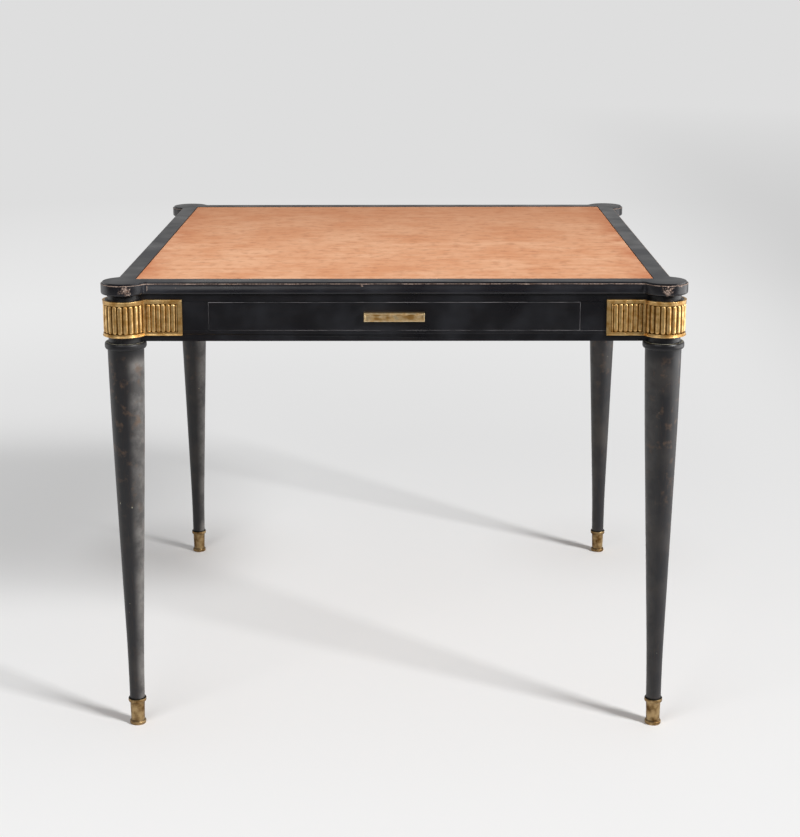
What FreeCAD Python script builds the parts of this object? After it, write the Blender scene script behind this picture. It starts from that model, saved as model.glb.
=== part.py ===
import FreeCAD, Part
import os
import re

import Sketcher
from FreeCAD import Placement, Rotation, Vector

# A square bridge table: four turned legs, a frieze with one drawer in its front, reeded corner mounts,
# brass sabots and a suede playing surface in a border with a round ear over each leg.
# +Z is up, the drawer faces -Y, and the origin is on the floor under the middle of the top.
# A corner's pieces are drawn about its leg's axis, with +X and +Y running in along the two friezes,
# and a side's pieces are drawn for the front; both are then turned into place by quarter turns.

os.makedirs("parts", exist_ok=True)
doc = FreeCAD.newDocument("bridge_table")
sizes = doc.addObject("Spreadsheet::Sheet", "Sizes")

# Driving dimensions in millimetres, counts where the name says reeds, shares where it says share
size_table = (
    ("leg_spacing", 830, "between the legs' axes, both ways"),
    ("table_height", 725, "floor to the top of the border"),
    ("top_thickness", 19, "border and ears"),
    ("edge_overhang", 14, "leg axis out to the straight edge of the top"),
    ("border_setback", 15, "leg axis in to the playing surface"),
    ("ear_radius", 35.5, "round ear about the leg axis"),
    ("crease_radius", 5, "hollow where an ear meets the straight edge"),
    ("ear_joint_margin", 1.5, "end of that hollow to the joint with the border rail"),
    ("quirk_width", 2.7, "step sunk round the top's edge"),
    ("quirk_depth", 2.6, "depth of that step"),
    ("lower_round", 3, "rounding under the top's edge"),
    ("suede_thickness", 1.6, "playing surface"),
    ("suede_recess", 0.4, "border's top down to the suede"),
    ("suede_gap", 0.6, "border to the suede"),
    ("tongue_length", 6, "top panel's tongue"),
    ("tongue_thickness", 6, "top panel's tongue"),
    ("tongue_fit", 0.1, "clearance round the tongue"),
    ("apron_height", 74.3, "frieze"),
    ("apron_thickness", 22, "frieze"),
    ("apron_proud", 8, "leg axis out to the frieze's face"),
    ("shoulder_offset", 20, "leg axis to a frieze board's shoulder"),
    ("tenon_thickness", 8, "frieze tenon"),
    ("tenon_gap", 0.2, "between the two tenons that meet in a leg"),
    ("tenon_fit", 0.1, "clearance at a tenon's cheeks"),
    ("mortise_spare", 1, "mortise deeper than its tenon is long"),
    ("lower_rail_height", 16.2, "front rail under the drawer"),
    ("neck_radius", 26, "leg above and below the mount"),
    ("seat_radius", 30, "leg under the mount"),
    ("ring_drop", 0.9, "frieze's lower edge to the ring"),
    ("ring_height", 10.8, "turned ring"),
    ("ring_radius", 32.2, "turned ring"),
    ("ring_chamfer", 2.6, "arrises of the ring"),
    ("leg_radius", 28.1, "leg just under the ring"),
    ("shoulder_height", 455, "floor to where the straight taper starts"),
    ("shoulder_radius", 24.1, "leg there"),
    ("ankle_height", 159, "floor to where the straight taper ends"),
    ("ankle_radius", 14.1, "leg there"),
    ("foot_radius", 11.9, "leg where it enters the sabot"),
    ("spigot_radius", 9.3, "leg inside the sabot"),
    ("sabot_height", 45, "brass cup"),
    ("sabot_floor", 4, "floor to the end of the leg"),
    ("sabot_radius", 11.4, "cup under its collar"),
    ("sabot_waist_radius", 10.7, "cup above its foot ring"),
    ("collar_height", 7, "ring at the top of the cup"),
    ("collar_radius", 14.3, "ring at the top of the cup"),
    ("collar_round", 1.5, "arrises of the collar"),
    ("collar_seat", 3, "collar's top down to the shoulder of the leg in it"),
    ("foot_ring_radius", 12.9, "ring near the floor"),
    ("foot_ring_height", 4.8, "ring near the floor"),
    ("foot_ring_rise", 1.2, "floor to that ring"),
    ("foot_pad_radius", 12.2, "flat that stands on the floor"),
    ("foot_neck_radius", 12.65, "cup just under the foot ring"),
    ("mount_drop", 9, "top's underside to the mount"),
    ("mount_height", 56, "corner mount"),
    ("mount_radius", 33.4, "corner mount about the leg axis"),
    ("mount_reach", 89.5, "leg axis to the mount's end on the frieze"),
    ("plate_thickness", 3.5, "mount on the frieze"),
    ("top_border", 6.5, "plain band over the reeds"),
    ("bottom_border", 4.7, "plain band under the reeds"),
    ("end_border", 6.8, "plain band at the mount's end"),
    ("crease_border", 2.3, "plain band each side of the crease"),
    ("recess_depth", 2.3, "bands down to the ground between the reeds"),
    ("reed_radius", 4.6, "reed"),
    ("reed_drop", 0.6, "bands down to a reed's crest"),
    ("arc_reeds", 14, "reeds round the leg"),
    ("plate_reeds", 7, "reeds on each frieze, the last half under the end band"),
    ("pin_radius", 0.8, "mount pin"),
    ("pin_length", 12, "mount pin"),
    ("pin_head_radius", 1.3, "mount pin"),
    ("pin_head_height", 0.5, "mount pin"),
    ("drawer_width", 571, "drawer front"),
    ("drawer_height", 44.2, "drawer front"),
    ("drawer_gap", 0.4, "round the drawer front"),
    ("front_thickness", 16, "drawer front"),
    ("drawer_depth", 400, "face of the drawer to its back"),
    ("side_thickness", 10, "drawer side"),
    ("side_height", 38, "drawer side"),
    ("lap_depth", 8, "drawer side let into the front"),
    ("back_thickness", 8, "drawer back"),
    ("bottom_thickness", 5, "drawer bottom"),
    ("bottom_rise", 6, "drawer side's lower edge to the bottom"),
    ("bottom_groove", 4, "groove for the bottom"),
    ("bottom_fit", 0.1, "clearance of the bottom in its grooves"),
    ("runner_gap", 0.3, "drawer side to runner and to kicker"),
    ("runner_width", 24, "runner and kicker"),
    ("guide_width", 10, "guide beside the drawer"),
    ("guide_height", 20, "guide beside the drawer"),
    ("stop_length", 30, "drawer stop"),
    ("stop_height", 5, "drawer stop"),
    ("stop_spacing", 300, "between the stops' middles"),
    ("handle_length", 93.3, "bar handle"),
    ("handle_height", 13.5, "bar handle"),
    ("handle_projection", 10, "bar handle"),
    ("handle_rim", 1.8, "raised rim round the handle's face"),
    ("handle_sink", 0.8, "rim down to the handle's field"),
    ("handle_screw_spacing", 60, "between the handle's screws"),
    ("handle_screw_radius", 2, "handle screw"),
    ("handle_screw_bite", 7, "handle screw into the handle"),
    ("handle_head_radius", 4, "handle screw"),
    ("handle_head_height", 2.5, "handle screw"),
    ("block_share", 0.5, "corner block out from the leg, of the way to the drawer's guide"),
    ("block_thickness", 22, "corner block"),
    ("block_height", 40, "corner block"),
    ("lag_radius", 3, "corner block screw"),
    ("lag_tip", 14.83, "leg axis to the corner block screw's point"),
    ("lag_head_radius", 5.5, "corner block screw"),
    ("lag_head_height", 3, "corner block screw"),
    ("top_screw_radius", 2.2, "top screw"),
    ("top_screw_bite", 11, "top screw into the top panel"),
    ("top_screw_head_radius", 4.4, "top screw"),
    ("top_screw_head_height", 2.6, "top screw"),
    ("top_screw_share", 0.5, "top screws out from the corner block's middle, of the way to its ends"),
    ("cut_overrun", 5, "how far a cut runs past the wood it leaves"),
    ("edge_match", 0.1, "how near an edge lies to the place that it is picked by"),
)
size_names = {name for name, value, note in size_table}
for row, (name, value, note) in enumerate(size_table, start=1):
    sizes.set(f"A{row}", name)
    sizes.set(f"B{row}", str(value))
    sizes.setAlias(f"B{row}", name)
    sizes.set(f"C{row}", note)
doc.recompute()

# Heights and places worked out from the sheet, as formulas
half = "leg_spacing / 2"
underside = "(table_height - top_thickness)"
apron_bottom = f"({underside} - apron_height)"
apron_inner = "(apron_thickness - apron_proud)"
ring_top = f"({apron_bottom} - ring_drop)"
ring_bottom = f"({ring_top} - ring_height)"
mount_top = f"({underside} - mount_drop)"
mount_bottom = f"({mount_top} - mount_height)"
panel_top = "(table_height - suede_recess - suede_thickness)"
tongue_middle = f"(({underside} + {panel_top}) / 2)"
tongue_low = f"({tongue_middle} - tongue_thickness / 2)"
tongue_high = f"({tongue_middle} + tongue_thickness / 2)"
panel_half = f"({half} - border_setback)"
tenon_middle = f"(({apron_inner} - apron_proud) / 2)"
tenon_low = f"({tenon_middle} - tenon_thickness / 2)"
tenon_high = f"({tenon_middle} + tenon_thickness / 2)"
tenon_end = f"({tenon_high} + tenon_gap)"
plate_face = "(apron_proud + plate_thickness)"
crease = f"sqrt(mount_radius ^ 2 - {plate_face} ^ 2)"
opening_bottom = f"({apron_bottom} + lower_rail_height)"
opening_half = "(drawer_width / 2 + drawer_gap)"
drawer_low = f"({opening_bottom} + drawer_gap)"
drawer_high = f"({drawer_low} + drawer_height)"
opening_top = f"({drawer_high} + drawer_gap)"
drawer_middle = f"({drawer_low} + drawer_height / 2)"
face = f"(-{half} - apron_proud)"
front_back = f"({face} + front_thickness)"
rail_back = f"({face} + apron_thickness)"
side_end = f"({face} + drawer_depth)"
side_outer = "(drawer_width / 2)"
side_inner = f"({side_outer} - side_thickness)"
side_top = f"({drawer_low} + side_height)"
bottom_low = f"({drawer_low} + bottom_rise)"
bottom_high = f"({bottom_low} + bottom_thickness)"
runner_top = f"({drawer_low} - runner_gap)"
runner_outer = f"({opening_half} + guide_width)"
runner_inner = f"({runner_outer} - runner_width)"
block_at_leg = f"((seat_radius + block_thickness) * sqrt(2) - {apron_inner})"
block_at_guide = f"({half} - {runner_outer})"
block_far = f"({block_at_leg} + ({block_at_guide} - {block_at_leg}) * block_share)"
block_line = f"(({apron_inner} + {block_far}) / 2)"
block_middle = f"({block_line} - block_thickness / 2 / sqrt(2))"
block_low = f"({underside} - block_height)"
lag_length = f"({block_line} * sqrt(2) - lag_tip)"

corners = ("front_left", "front_right", "back_right", "back_left")
sides = ("front", "right", "back", "left")
pieces = []


# Sheet, placing and plain solids

def formula(text):
    def named(word):
        return "Sizes." + word.group() if word.group() in size_names else word.group()

    return re.sub(r"[a-z]\w*", named, text)


def number(text):
    return float(FreeCAD.Units.Quantity(sizes.evalExpression(formula(text))).Value)


def bind(piece, **expressions):
    for name, text in expressions.items():
        piece.setExpression(name, formula(text))
    return piece


def quarter_turned(x, y, quarters):
    return ((x, y), (f"-({y})", x), (f"-({x})", f"-({y})"), (y, f"-({x})"))[quarters % 4]


def place(piece, x="0", y="0", z="0", quarters=0, tilt=Rotation()):
    piece.Placement = Placement(Vector(), Rotation(Vector(0, 0, 1), 90 * quarters) * tilt)
    x, y = quarter_turned(x, y, quarters)
    for axis, text in (("x", x), ("y", y), ("z", z)):
        piece.setExpression("Placement.Base." + axis, formula(text))
    return piece


def over_leg(piece, quarters):
    return place(piece, f"-{half}", f"-{half}", "0", quarters)


def finish(piece, label):
    piece.Label = label
    pieces.append(piece)
    return piece


def spans(piece, x, y, z):
    for name, axis, (low, high) in (("Length", "x", x), ("Width", "y", y), ("Height", "z", z)):
        piece.setExpression(name, formula(f"({high}) - ({low})"))
        piece.setExpression("Placement.Base." + axis, formula(low))
    return piece


def box(name, x, y, z):
    return spans(doc.addObject("Part::Box", name), x, y, z)


def fused(name, solids):
    joined = doc.addObject("Part::MultiFuse", name)
    joined.Shapes = solids
    return joined


def grouped(name, solids):
    group = doc.addObject("Part::Compound", name)
    group.Links = solids
    return group


def cut(name, base, tools):
    made = doc.addObject("Part::Cut", name)
    made.Base = base
    made.Tool = tools[0] if len(tools) == 1 else fused(name + "_tools", tools)
    return made


def headed(name, shank_radius, length, head_radius, head_height, countersunk=False):
    # The shank runs down -Z from the face that the head sits on or in
    shank = bind(doc.addObject("Part::Cylinder", name + "_shank"), Radius=shank_radius, Height=length)
    place(shank, z=f"-({length})")
    if countersunk:
        head = doc.addObject("Part::Cone", name + "_head")
        bind(head, Radius1=shank_radius, Radius2=head_radius, Height=head_height)
        place(head, z=f"-({head_height})")
    else:
        head = bind(doc.addObject("Part::Cylinder", name + "_head"), Radius=head_radius, Height=head_height)
    return fused(name, [shank, head])


# Bodies and sketches

def origin_part(body, role):
    return next(part for part in body.Origin.OriginFeatures if part.Role == role)


def new_body(name):
    return doc.addObject("PartDesign::Body", name)


def new_sketch(body, role, name):
    sketch = body.newObject("Sketcher::SketchObject", name)
    sketch.AttachmentSupport = [(origin_part(body, role), "")]
    sketch.MapMode = "FlatFace"
    return sketch


def dimension(sketch, kind, where, text):
    index = sketch.addConstraint(Sketcher.Constraint(kind, *where, number(text)))
    sketch.renameConstraint(index, f"size{index}")
    sketch.setExpression(f"Constraints.size{index}", formula(text))


def locate(sketch, where, x, y):
    # A point on an axis is tied to it, because a dimension of zero has no side
    for kind, text, axis in (("DistanceX", x, -2), ("DistanceY", y, -1)):
        if text == "0":
            sketch.addConstraint(Sketcher.Constraint("PointOnObject", *where, axis))
        else:
            dimension(sketch, kind, (-1, 1) + where, text)


def end_at(sketch, index, point):
    return min((1, 2), key=lambda end: sketch.getPoint(index, end).distanceToPoint(point))


def join(sketch, first, second, point, kind="Coincident"):
    ends = first, end_at(sketch, first, point), second, end_at(sketch, second, point)
    sketch.addConstraint(Sketcher.Constraint(kind, *ends))


def tangent_arc(free_end, tangent_end, direction):
    # The arc through both ends that runs along the direction at its tangent end
    normal = Vector(-direction.y, direction.x, 0).normalize()
    chord = free_end - tangent_end
    bend_radius = chord.dot(chord) / (2 * chord.dot(normal))
    centre = tangent_end + normal * bend_radius
    outward = (free_end + tangent_end) / 2 - centre
    return Part.Arc(free_end, centre + outward.normalize() * abs(bend_radius), tangent_end)


def outline(body, role, name, points, arcs=None):
    # Closed outline through named points; an arc leaves the straight line beside it without a break
    arcs = arcs or {}
    sketch = new_sketch(body, role, name)
    places = [Vector(number(x), number(y), 0) for x, y in points]
    count = len(places)
    for index, start in enumerate(places):
        end = places[(index + 1) % count]
        if arcs.get(index) == "tangent at end":
            sketch.addGeometry(tangent_arc(start, end, places[(index + 2) % count] - end))
        elif arcs.get(index) == "tangent at start":
            sketch.addGeometry(tangent_arc(end, start, start - places[index - 1]))
        else:
            sketch.addGeometry(Part.LineSegment(start, end))
    for index, point in enumerate(places):
        before = (index - 1) % count
        smooth = arcs.get(before) == "tangent at end" or arcs.get(index) == "tangent at start"
        join(sketch, before, index, point, "Tangent" if smooth else "Coincident")
        locate(sketch, (index, end_at(sketch, index, point)), *points[index])
    return sketch


def padded(body, sketch, length, name):
    pad = body.newObject("PartDesign::Pad", name)
    pad.Profile = sketch
    return bind(pad, Length=length)


def turned(body, sketch, name):
    solid = body.newObject("PartDesign::Revolution", name)
    solid.Profile = sketch
    solid.ReferenceAxis = (sketch, ["V_Axis"])
    solid.Angle = 360
    body.Tip = solid
    return solid


def boxed(body, kind, name, x, y, z):
    return spans(body.newObject(f"PartDesign::{kind}Box", name), x, y, z)


def rod(body, kind, name, radius, low, high, x="0", y="0"):
    made = body.newObject(f"PartDesign::{kind}Cylinder", name)
    bind(made, Radius=radius, Height=f"({high}) - ({low})")
    return place(made, x, y, low)


def rounded(body, base, name, radius, chosen):
    # Rounds the base feature's edges that lie level and whose middle the test picks
    edges = []
    for index, edge in enumerate(base.Shape.Edges, start=1):
        middle = edge.valueAt((edge.FirstParameter + edge.LastParameter) / 2)
        level = edge.BoundBox.ZLength < number("edge_match")
        if level and chosen(middle):
            edges.append(f"Edge{index}")
    made = body.newObject("PartDesign::Fillet", name)
    made.Base = (base, edges)
    return bind(made, Radius=radius)


# Fasteners, drawn first because each piece is bored by the ones that pass through it

pin_along, pin_across = f"-{half} + ({crease} + mount_reach) / 2", f"-{half} - {plate_face}"
pin_top, pin_bottom = f"{mount_top} - top_border / 2", f"{mount_bottom} + bottom_border / 2"
pins = []
for quarters, corner in enumerate(corners):
    for level, z in (("top", pin_top), ("bottom", pin_bottom)):
        for run in ("x", "y"):
            pin = headed(f"pin_{corner}_{level}_{run}", "pin_radius", "pin_length",
                         "pin_head_radius", "pin_head_height")
            out = Rotation(Vector(1, 0, 0), 90) if run == "x" else Rotation(Vector(0, 1, 0), -90)
            x, y = (pin_along, pin_across) if run == "x" else (pin_across, pin_along)
            pins.append(place(pin, x, y, z, quarters, out))
mount_pins = finish(grouped("pins", pins), "mount_pins")

lags = []
top_screws = []
for quarters, corner in enumerate(corners):
    lag = headed(f"lag_{corner}", "lag_radius", lag_length, "lag_head_radius", "lag_head_height")
    into_leg = Rotation(Vector(0, 0, 1), Vector(1, 1, 0))
    at = f"-{half} + {block_line}"
    lags.append(place(lag, at, at, f"{block_low} + block_height / 2", quarters, into_leg))
    middle, offset = f"-{half} + {block_middle}", f"({block_middle} - {apron_inner}) * top_screw_share"
    farther, nearer = f"{middle} + {offset}", f"{middle} - {offset}"
    for run, x, y in (("x", farther, nearer), ("y", nearer, farther)):
        screw = headed(f"top_screw_{corner}_{run}", "top_screw_radius", "block_height + top_screw_bite",
                       "top_screw_head_radius", "top_screw_head_height", countersunk=True)
        top_screws.append(place(screw, x, y, block_low, quarters, Rotation(Vector(1, 0, 0), 180)))
corner_block_screws = finish(grouped("lags", lags), "corner_block_screws")
top_screw_group = finish(grouped("top_screw_set", top_screws), "top_screws")

handle_screw_length = "(front_thickness + handle_screw_bite)"
handle_screws = []
for way, sign in (("left", "-"), ("right", "")):
    screw = headed(f"handle_screw_{way}", "handle_screw_radius", handle_screw_length,
                   "handle_head_radius", "handle_head_height")
    x = f"{sign}handle_screw_spacing / 2"
    handle_screws.append(place(screw, x, front_back, drawer_middle, tilt=Rotation(Vector(1, 0, 0), -90)))
handle_screw_group = finish(grouped("handle_screw_set", handle_screws), "handle_screws")


# Legs and sabots

leg_points = (
    ("0", "sabot_floor"),
    ("spigot_radius", "sabot_floor"),
    ("spigot_radius", "sabot_height - collar_seat"),
    ("foot_radius", "sabot_height - collar_seat"),
    ("foot_radius", "sabot_height"),
    ("ankle_radius", "ankle_height"),
    ("shoulder_radius", "shoulder_height"),
    ("leg_radius", ring_bottom),
    ("ring_radius - ring_chamfer", ring_bottom),
    ("ring_radius", f"{ring_bottom} + ring_chamfer"),
    ("ring_radius", f"{ring_top} - ring_chamfer"),
    ("ring_radius - ring_chamfer", ring_top),
    ("neck_radius", ring_top),
    ("neck_radius", mount_bottom),
    ("seat_radius", mount_bottom),
    ("seat_radius", mount_top),
    ("neck_radius", mount_top),
    ("neck_radius", underside),
    ("0", underside),
)
foot_bend = 4
thigh_bend = 6


def make_leg(quarters, corner):
    body = new_body(f"leg_{corner}_body")
    profile = outline(body, "XZ_Plane", f"leg_{corner}_profile", leg_points,
                      {foot_bend: "tangent at end", thigh_bend: "tangent at start"})
    turned(body, profile, f"leg_{corner}_turned")
    seat_end = "seat_radius + cut_overrun"
    for run in ("x", "y"):
        notch = ("shoulder_offset", seat_end), ("-apron_proud", apron_inner)
        cheeks = f"{tenon_low} - tenon_fit", f"{tenon_high} + tenon_fit"
        mortise = (f"{tenon_end} - mortise_spare", "shoulder_offset"), cheeks
        for name, (along, across) in (("notch", notch), ("mortise", mortise)):
            x, y = (along, across) if run == "x" else (across, along)
            boxed(body, "Subtractive", f"leg_{corner}_{name}_{run}", x, y, (apron_bottom, underside))
    over_leg(body, quarters)
    return finish(cut(f"leg_{corner}", body, [corner_block_screws]), f"leg_{corner}")


sabot_points = (
    ("0", "0"),
    ("foot_pad_radius", "0"),
    ("foot_neck_radius", "foot_ring_rise / 2"),
    ("foot_ring_radius", "foot_ring_rise"),
    ("foot_ring_radius", "foot_ring_rise + foot_ring_height"),
    ("sabot_waist_radius", "foot_ring_rise + foot_ring_height"),
    ("sabot_radius", "sabot_height - collar_height"),
    ("collar_radius", "sabot_height - collar_height"),
    ("collar_radius", "sabot_height"),
    ("foot_radius", "sabot_height"),
    ("foot_radius", "sabot_height - collar_seat"),
    ("spigot_radius", "sabot_height - collar_seat"),
    ("spigot_radius", "sabot_floor"),
    ("0", "sabot_floor"),
)


def make_sabot(quarters, corner):
    body = new_body(f"sabot_{corner}_body")
    profile = outline(body, "XZ_Plane", f"sabot_{corner}_profile", sabot_points)
    cup = turned(body, profile, f"sabot_{corner}_turned")
    doc.recompute()
    collar_edge = number("collar_radius - edge_match")

    def on_collar(point):
        return Vector(point.x, point.y, 0).Length > collar_edge

    body.Tip = rounded(body, cup, f"sabot_{corner}_rounds", "collar_round", on_collar)
    over_leg(body, quarters)
    return finish(body, f"sabot_{corner}")


# Corner mounts: reeds stand in a ground sunk below plain bands

reed_circle = "(mount_radius - reed_drop - reed_radius)"
crease_angle = f"(135 deg - asin({plate_face} / mount_radius) - crease_border / mount_radius * 1 rad)"
reed_angle = f"(2 * {crease_angle} / arc_reeds)"
first_reed_angle = f"(225 deg - (arc_reeds - 1) / 2 * {reed_angle})"
ground_low = f"({mount_bottom} + bottom_border)"
ground_high = f"({mount_top} - top_border)"
first_groove = f"({crease} + crease_border)"
last_groove = "(mount_reach - end_border)"
reed_pitch = f"(({last_groove} - {first_groove}) / (plate_reeds - 0.5))"


def make_mount(quarters, corner):
    name = f"mount_{corner}"
    body = new_body(f"{name}_body")
    rod(body, "Additive", f"{name}_drum", "mount_radius", mount_bottom, mount_top)
    along, across = ("0", "mount_reach"), (f"-{plate_face}", "0")
    boxed(body, "Additive", f"{name}_plate_x", along, across, (mount_bottom, mount_top))
    boxed(body, "Additive", f"{name}_plate_y", across, along, (mount_bottom, mount_top))

    inner, outer = "recess_depth - mount_radius", "-mount_radius - cut_overrun"
    ground = outline(body, "XZ_Plane", f"{name}_ground",
                     ((inner, ground_low), (outer, ground_low), (outer, ground_high), (inner, ground_high)))
    ground.AttachmentOffset = Placement(Vector(), Rotation(Vector(0, 1, 0), 45))
    groove = body.newObject("PartDesign::Groove", f"{name}_groove")
    groove.Profile = ground
    groove.ReferenceAxis = (ground, ["V_Axis"])
    groove.Midplane = True
    bind(groove, Angle=f"2 * {crease_angle}")

    along = (first_groove, last_groove)
    across = (f"-{plate_face} - cut_overrun", f"-{plate_face} + recess_depth")
    boxed(body, "Subtractive", f"{name}_ground_x", along, across, (ground_low, ground_high))
    boxed(body, "Subtractive", f"{name}_ground_y", across, along, (ground_low, ground_high))

    reed = rod(body, "Additive", f"{name}_reed", "reed_radius", ground_low, ground_high,
               f"{reed_circle} * cos({first_reed_angle})", f"{reed_circle} * sin({first_reed_angle})")
    round_set = body.newObject("PartDesign::PolarPattern", f"{name}_reeds")
    round_set.Originals = [reed]
    round_set.Axis = (origin_part(body, "Z_Axis"), [""])
    bind(round_set, Angle=f"(arc_reeds - 1) * {reed_angle}", Occurrences="arc_reeds")
    body.Tip = round_set
    for run in ("x", "y"):
        along, across = f"{first_groove} + {reed_pitch} / 2", f"-{plate_face} + reed_drop + reed_radius"
        x, y = (along, across) if run == "x" else (across, along)
        reed = rod(body, "Additive", f"{name}_reed_{run}", "reed_radius", ground_low, ground_high, x, y)
        row = body.newObject("PartDesign::LinearPattern", f"{name}_reeds_{run}")
        row.Originals = [reed]
        row.Direction = (origin_part(body, f"{run.upper()}_Axis"), [""])
        bind(row, Length=f"(plate_reeds - 1) * {reed_pitch}", Occurrences="plate_reeds")
        body.Tip = row
    rod(body, "Subtractive", f"{name}_seat", "seat_radius", mount_bottom, mount_top)
    inside = ("-apron_proud", "mount_reach + cut_overrun")
    boxed(body, "Subtractive", f"{name}_inside", inside, inside, (mount_bottom, mount_top))
    over_leg(body, quarters)
    return finish(cut(name, body, [mount_pins]), f"corner_mount_{corner}")


# Top: ears, border rails, panel and suede

crease_middle = "sqrt((ear_radius + crease_radius) ^ 2 - (edge_overhang + crease_radius) ^ 2)"
ear_joint = f"({crease_middle} + ear_joint_margin)"
quirk_bottom = "(table_height - quirk_depth)"
groove_low = f"{tongue_low} - tongue_fit"
groove_high = f"{tongue_high} + tongue_fit"
groove_edge = "border_setback - tongue_length - tongue_fit"


def ear_outline(body, name, inset, height):
    # Ear, two hollows and the stubs that meet the border rails, drawn inset from the full outline
    edge, big, small = f"(edge_overhang - {inset})", f"(ear_radius - {inset})", f"(crease_radius + {inset})"
    sketch = new_sketch(body, "XY_Plane", name)
    bind(sketch, **{"AttachmentOffset.Base.z": height})
    e, big_r, small_r = number(edge), number(big), number(small)
    c, joint, setback = number(crease_middle), number(ear_joint), number("border_setback")
    diagonal = 2 ** -0.5

    def mirrored(point):
        return Vector(point.y, point.x, 0)

    centre = Vector(c, -e - small_r, 0)
    a, b = Vector(joint, -e, 0), Vector(c, -e, 0)
    meet = centre * (big_r / (big_r + small_r))
    bend = centre + ((b + meet) / 2 - centre).normalize() * small_r
    bulge = Vector(-big_r * diagonal, -big_r * diagonal, 0)
    inner, front_inner = Vector(setback, setback, 0), Vector(joint, setback, 0)
    sketch.addGeometry([
        Part.LineSegment(a, b),
        Part.Arc(b, bend, meet),
        Part.Arc(meet, bulge, mirrored(meet)),
        Part.Arc(mirrored(meet), mirrored(bend), mirrored(b)),
        Part.LineSegment(mirrored(b), mirrored(a)),
        Part.LineSegment(mirrored(a), mirrored(front_inner)),
        Part.LineSegment(mirrored(front_inner), inner),
        Part.LineSegment(inner, front_inner),
        Part.LineSegment(front_inner, a),
    ])
    for index, point in enumerate((b, meet, mirrored(meet), mirrored(b))):
        join(sketch, index, index + 1, point, "Tangent")
    for index, point in enumerate((mirrored(a), mirrored(front_inner), inner, front_inner, a), start=4):
        join(sketch, index, (index + 1) % 9, point)
    for index in (0, 5, 7):
        sketch.addConstraint(Sketcher.Constraint("Horizontal", index))
    for index in (4, 6, 8):
        sketch.addConstraint(Sketcher.Constraint("Vertical", index))
    sketch.addConstraint(Sketcher.Constraint("Coincident", 2, 3, -1, 1))
    for index, radius in ((1, small), (2, big), (3, small)):
        dimension(sketch, "Radius", (index,), radius)
    locate(sketch, (0, 1), ear_joint, f"-{edge}")
    locate(sketch, (4, 2), f"-{edge}", ear_joint)
    locate(sketch, (7, 1), "border_setback", "border_setback")
    return sketch


def make_ear(quarters, corner):
    name = f"ear_{corner}"
    body = new_body(f"{name}_body")
    padded(body, ear_outline(body, f"{name}_lower", "0", underside), f"{quirk_bottom} - {underside}",
           f"{name}_thick")
    upper = padded(body, ear_outline(body, f"{name}_upper", "quirk_width", quirk_bottom), "quirk_depth",
                   f"{name}_step")
    doc.recompute()
    low_level, outer_line = number(f"{underside} + edge_match"), number("edge_match - edge_overhang")

    def outer_low(point):
        return point.z < low_level and min(point.x, point.y) < outer_line

    rounded(body, upper, f"{name}_round", "lower_round", outer_low)
    reach = (groove_edge, f"{ear_joint} + cut_overrun")
    boxed(body, "Subtractive", f"{name}_groove", reach, reach, (groove_low, groove_high))
    over_leg(body, quarters)
    return finish(body, f"ear_{corner}")


def make_border(quarters, side):
    name = f"border_{side}"
    body = new_body(f"{name}_body")
    y_edge, y_inner = f"-{half} - edge_overhang", f"-{half} + border_setback"
    groove_end = f"-{half} + {groove_edge}"
    section = outline(body, "YZ_Plane", f"{name}_section", (
        (y_inner, underside),
        (y_edge, underside),
        (y_edge, quirk_bottom),
        (f"{y_edge} + quirk_width", quirk_bottom),
        (f"{y_edge} + quirk_width", "table_height"),
        (y_inner, "table_height"),
        (y_inner, groove_high),
        (groove_end, groove_high),
        (groove_end, groove_low),
        (y_inner, groove_low),
    ))
    rail = padded(body, section, f"leg_spacing - 2 * {ear_joint}", f"{name}_rail")
    rail.Midplane = True
    doc.recompute()
    low_level, outer_line = number(f"{underside} + edge_match"), number(f"{y_edge} + edge_match")

    def outer_low(point):
        return point.z < low_level and point.y < outer_line

    rounded(body, rail, f"{name}_round", "lower_round", outer_low)
    place(body, quarters=quarters)
    return finish(body, f"border_{side}")


def make_top():
    span = (f"-{panel_half}", panel_half)
    board = box("panel_board", span, span, (underside, panel_top))
    span = (f"-{panel_half} - tongue_length", f"{panel_half} + tongue_length")
    tongue = box("panel_tongue", span, span, (tongue_low, tongue_high))
    finish(cut("panel", fused("panel_blank", [board, tongue]), [top_screw_group]), "top_panel")
    span = (f"-{panel_half} + suede_gap", f"{panel_half} - suede_gap")
    finish(box("suede", span, span, (panel_top, "table_height - suede_recess")), "playing_surface")


# Friezes and corner blocks

shoulder = f"({half} - shoulder_offset)"
tenon_reach = f"({half} - {tenon_end})"
frieze_y = (face, rail_back)
tenon_y = (f"-{half} + {tenon_low}", f"-{half} + {tenon_high}")


def tenoned(name, z, quarters=0):
    board = box(f"{name}_board", (f"-{shoulder}", shoulder), frieze_y, z)
    tenons = box(f"{name}_tenons", (f"-{tenon_reach}", tenon_reach), tenon_y, z)
    return place(fused(f"{name}_blank", [board, tenons]), quarters=quarters)


def make_friezes():
    for quarters, side in enumerate(sides[1:], start=1):
        board = tenoned(f"apron_{side}", (apron_bottom, underside), quarters)
        finish(cut(f"apron_{side}", board, [mount_pins]), f"apron_{side}")
    upper = tenoned("upper_rail", (opening_top, underside))
    finish(cut("upper_rail", upper, [mount_pins]), "front_upper_rail")
    lower = tenoned("lower_rail", (apron_bottom, opening_bottom))
    finish(cut("lower_rail", lower, [mount_pins]), "front_lower_rail")

    def make_end_block(way, x):
        z = (opening_bottom, opening_top)
        block = box(f"front_{way}_board", x(opening_half, shoulder), frieze_y, z)
        tenon = box(f"front_{way}_tenon", x(opening_half, tenon_reach), tenon_y, z)
        blank = fused(f"front_{way}_blank", [block, tenon])
        finish(cut(f"front_{way}_end", blank, [mount_pins]), f"front_{way}_block")

    both_sides(make_end_block)


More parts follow.
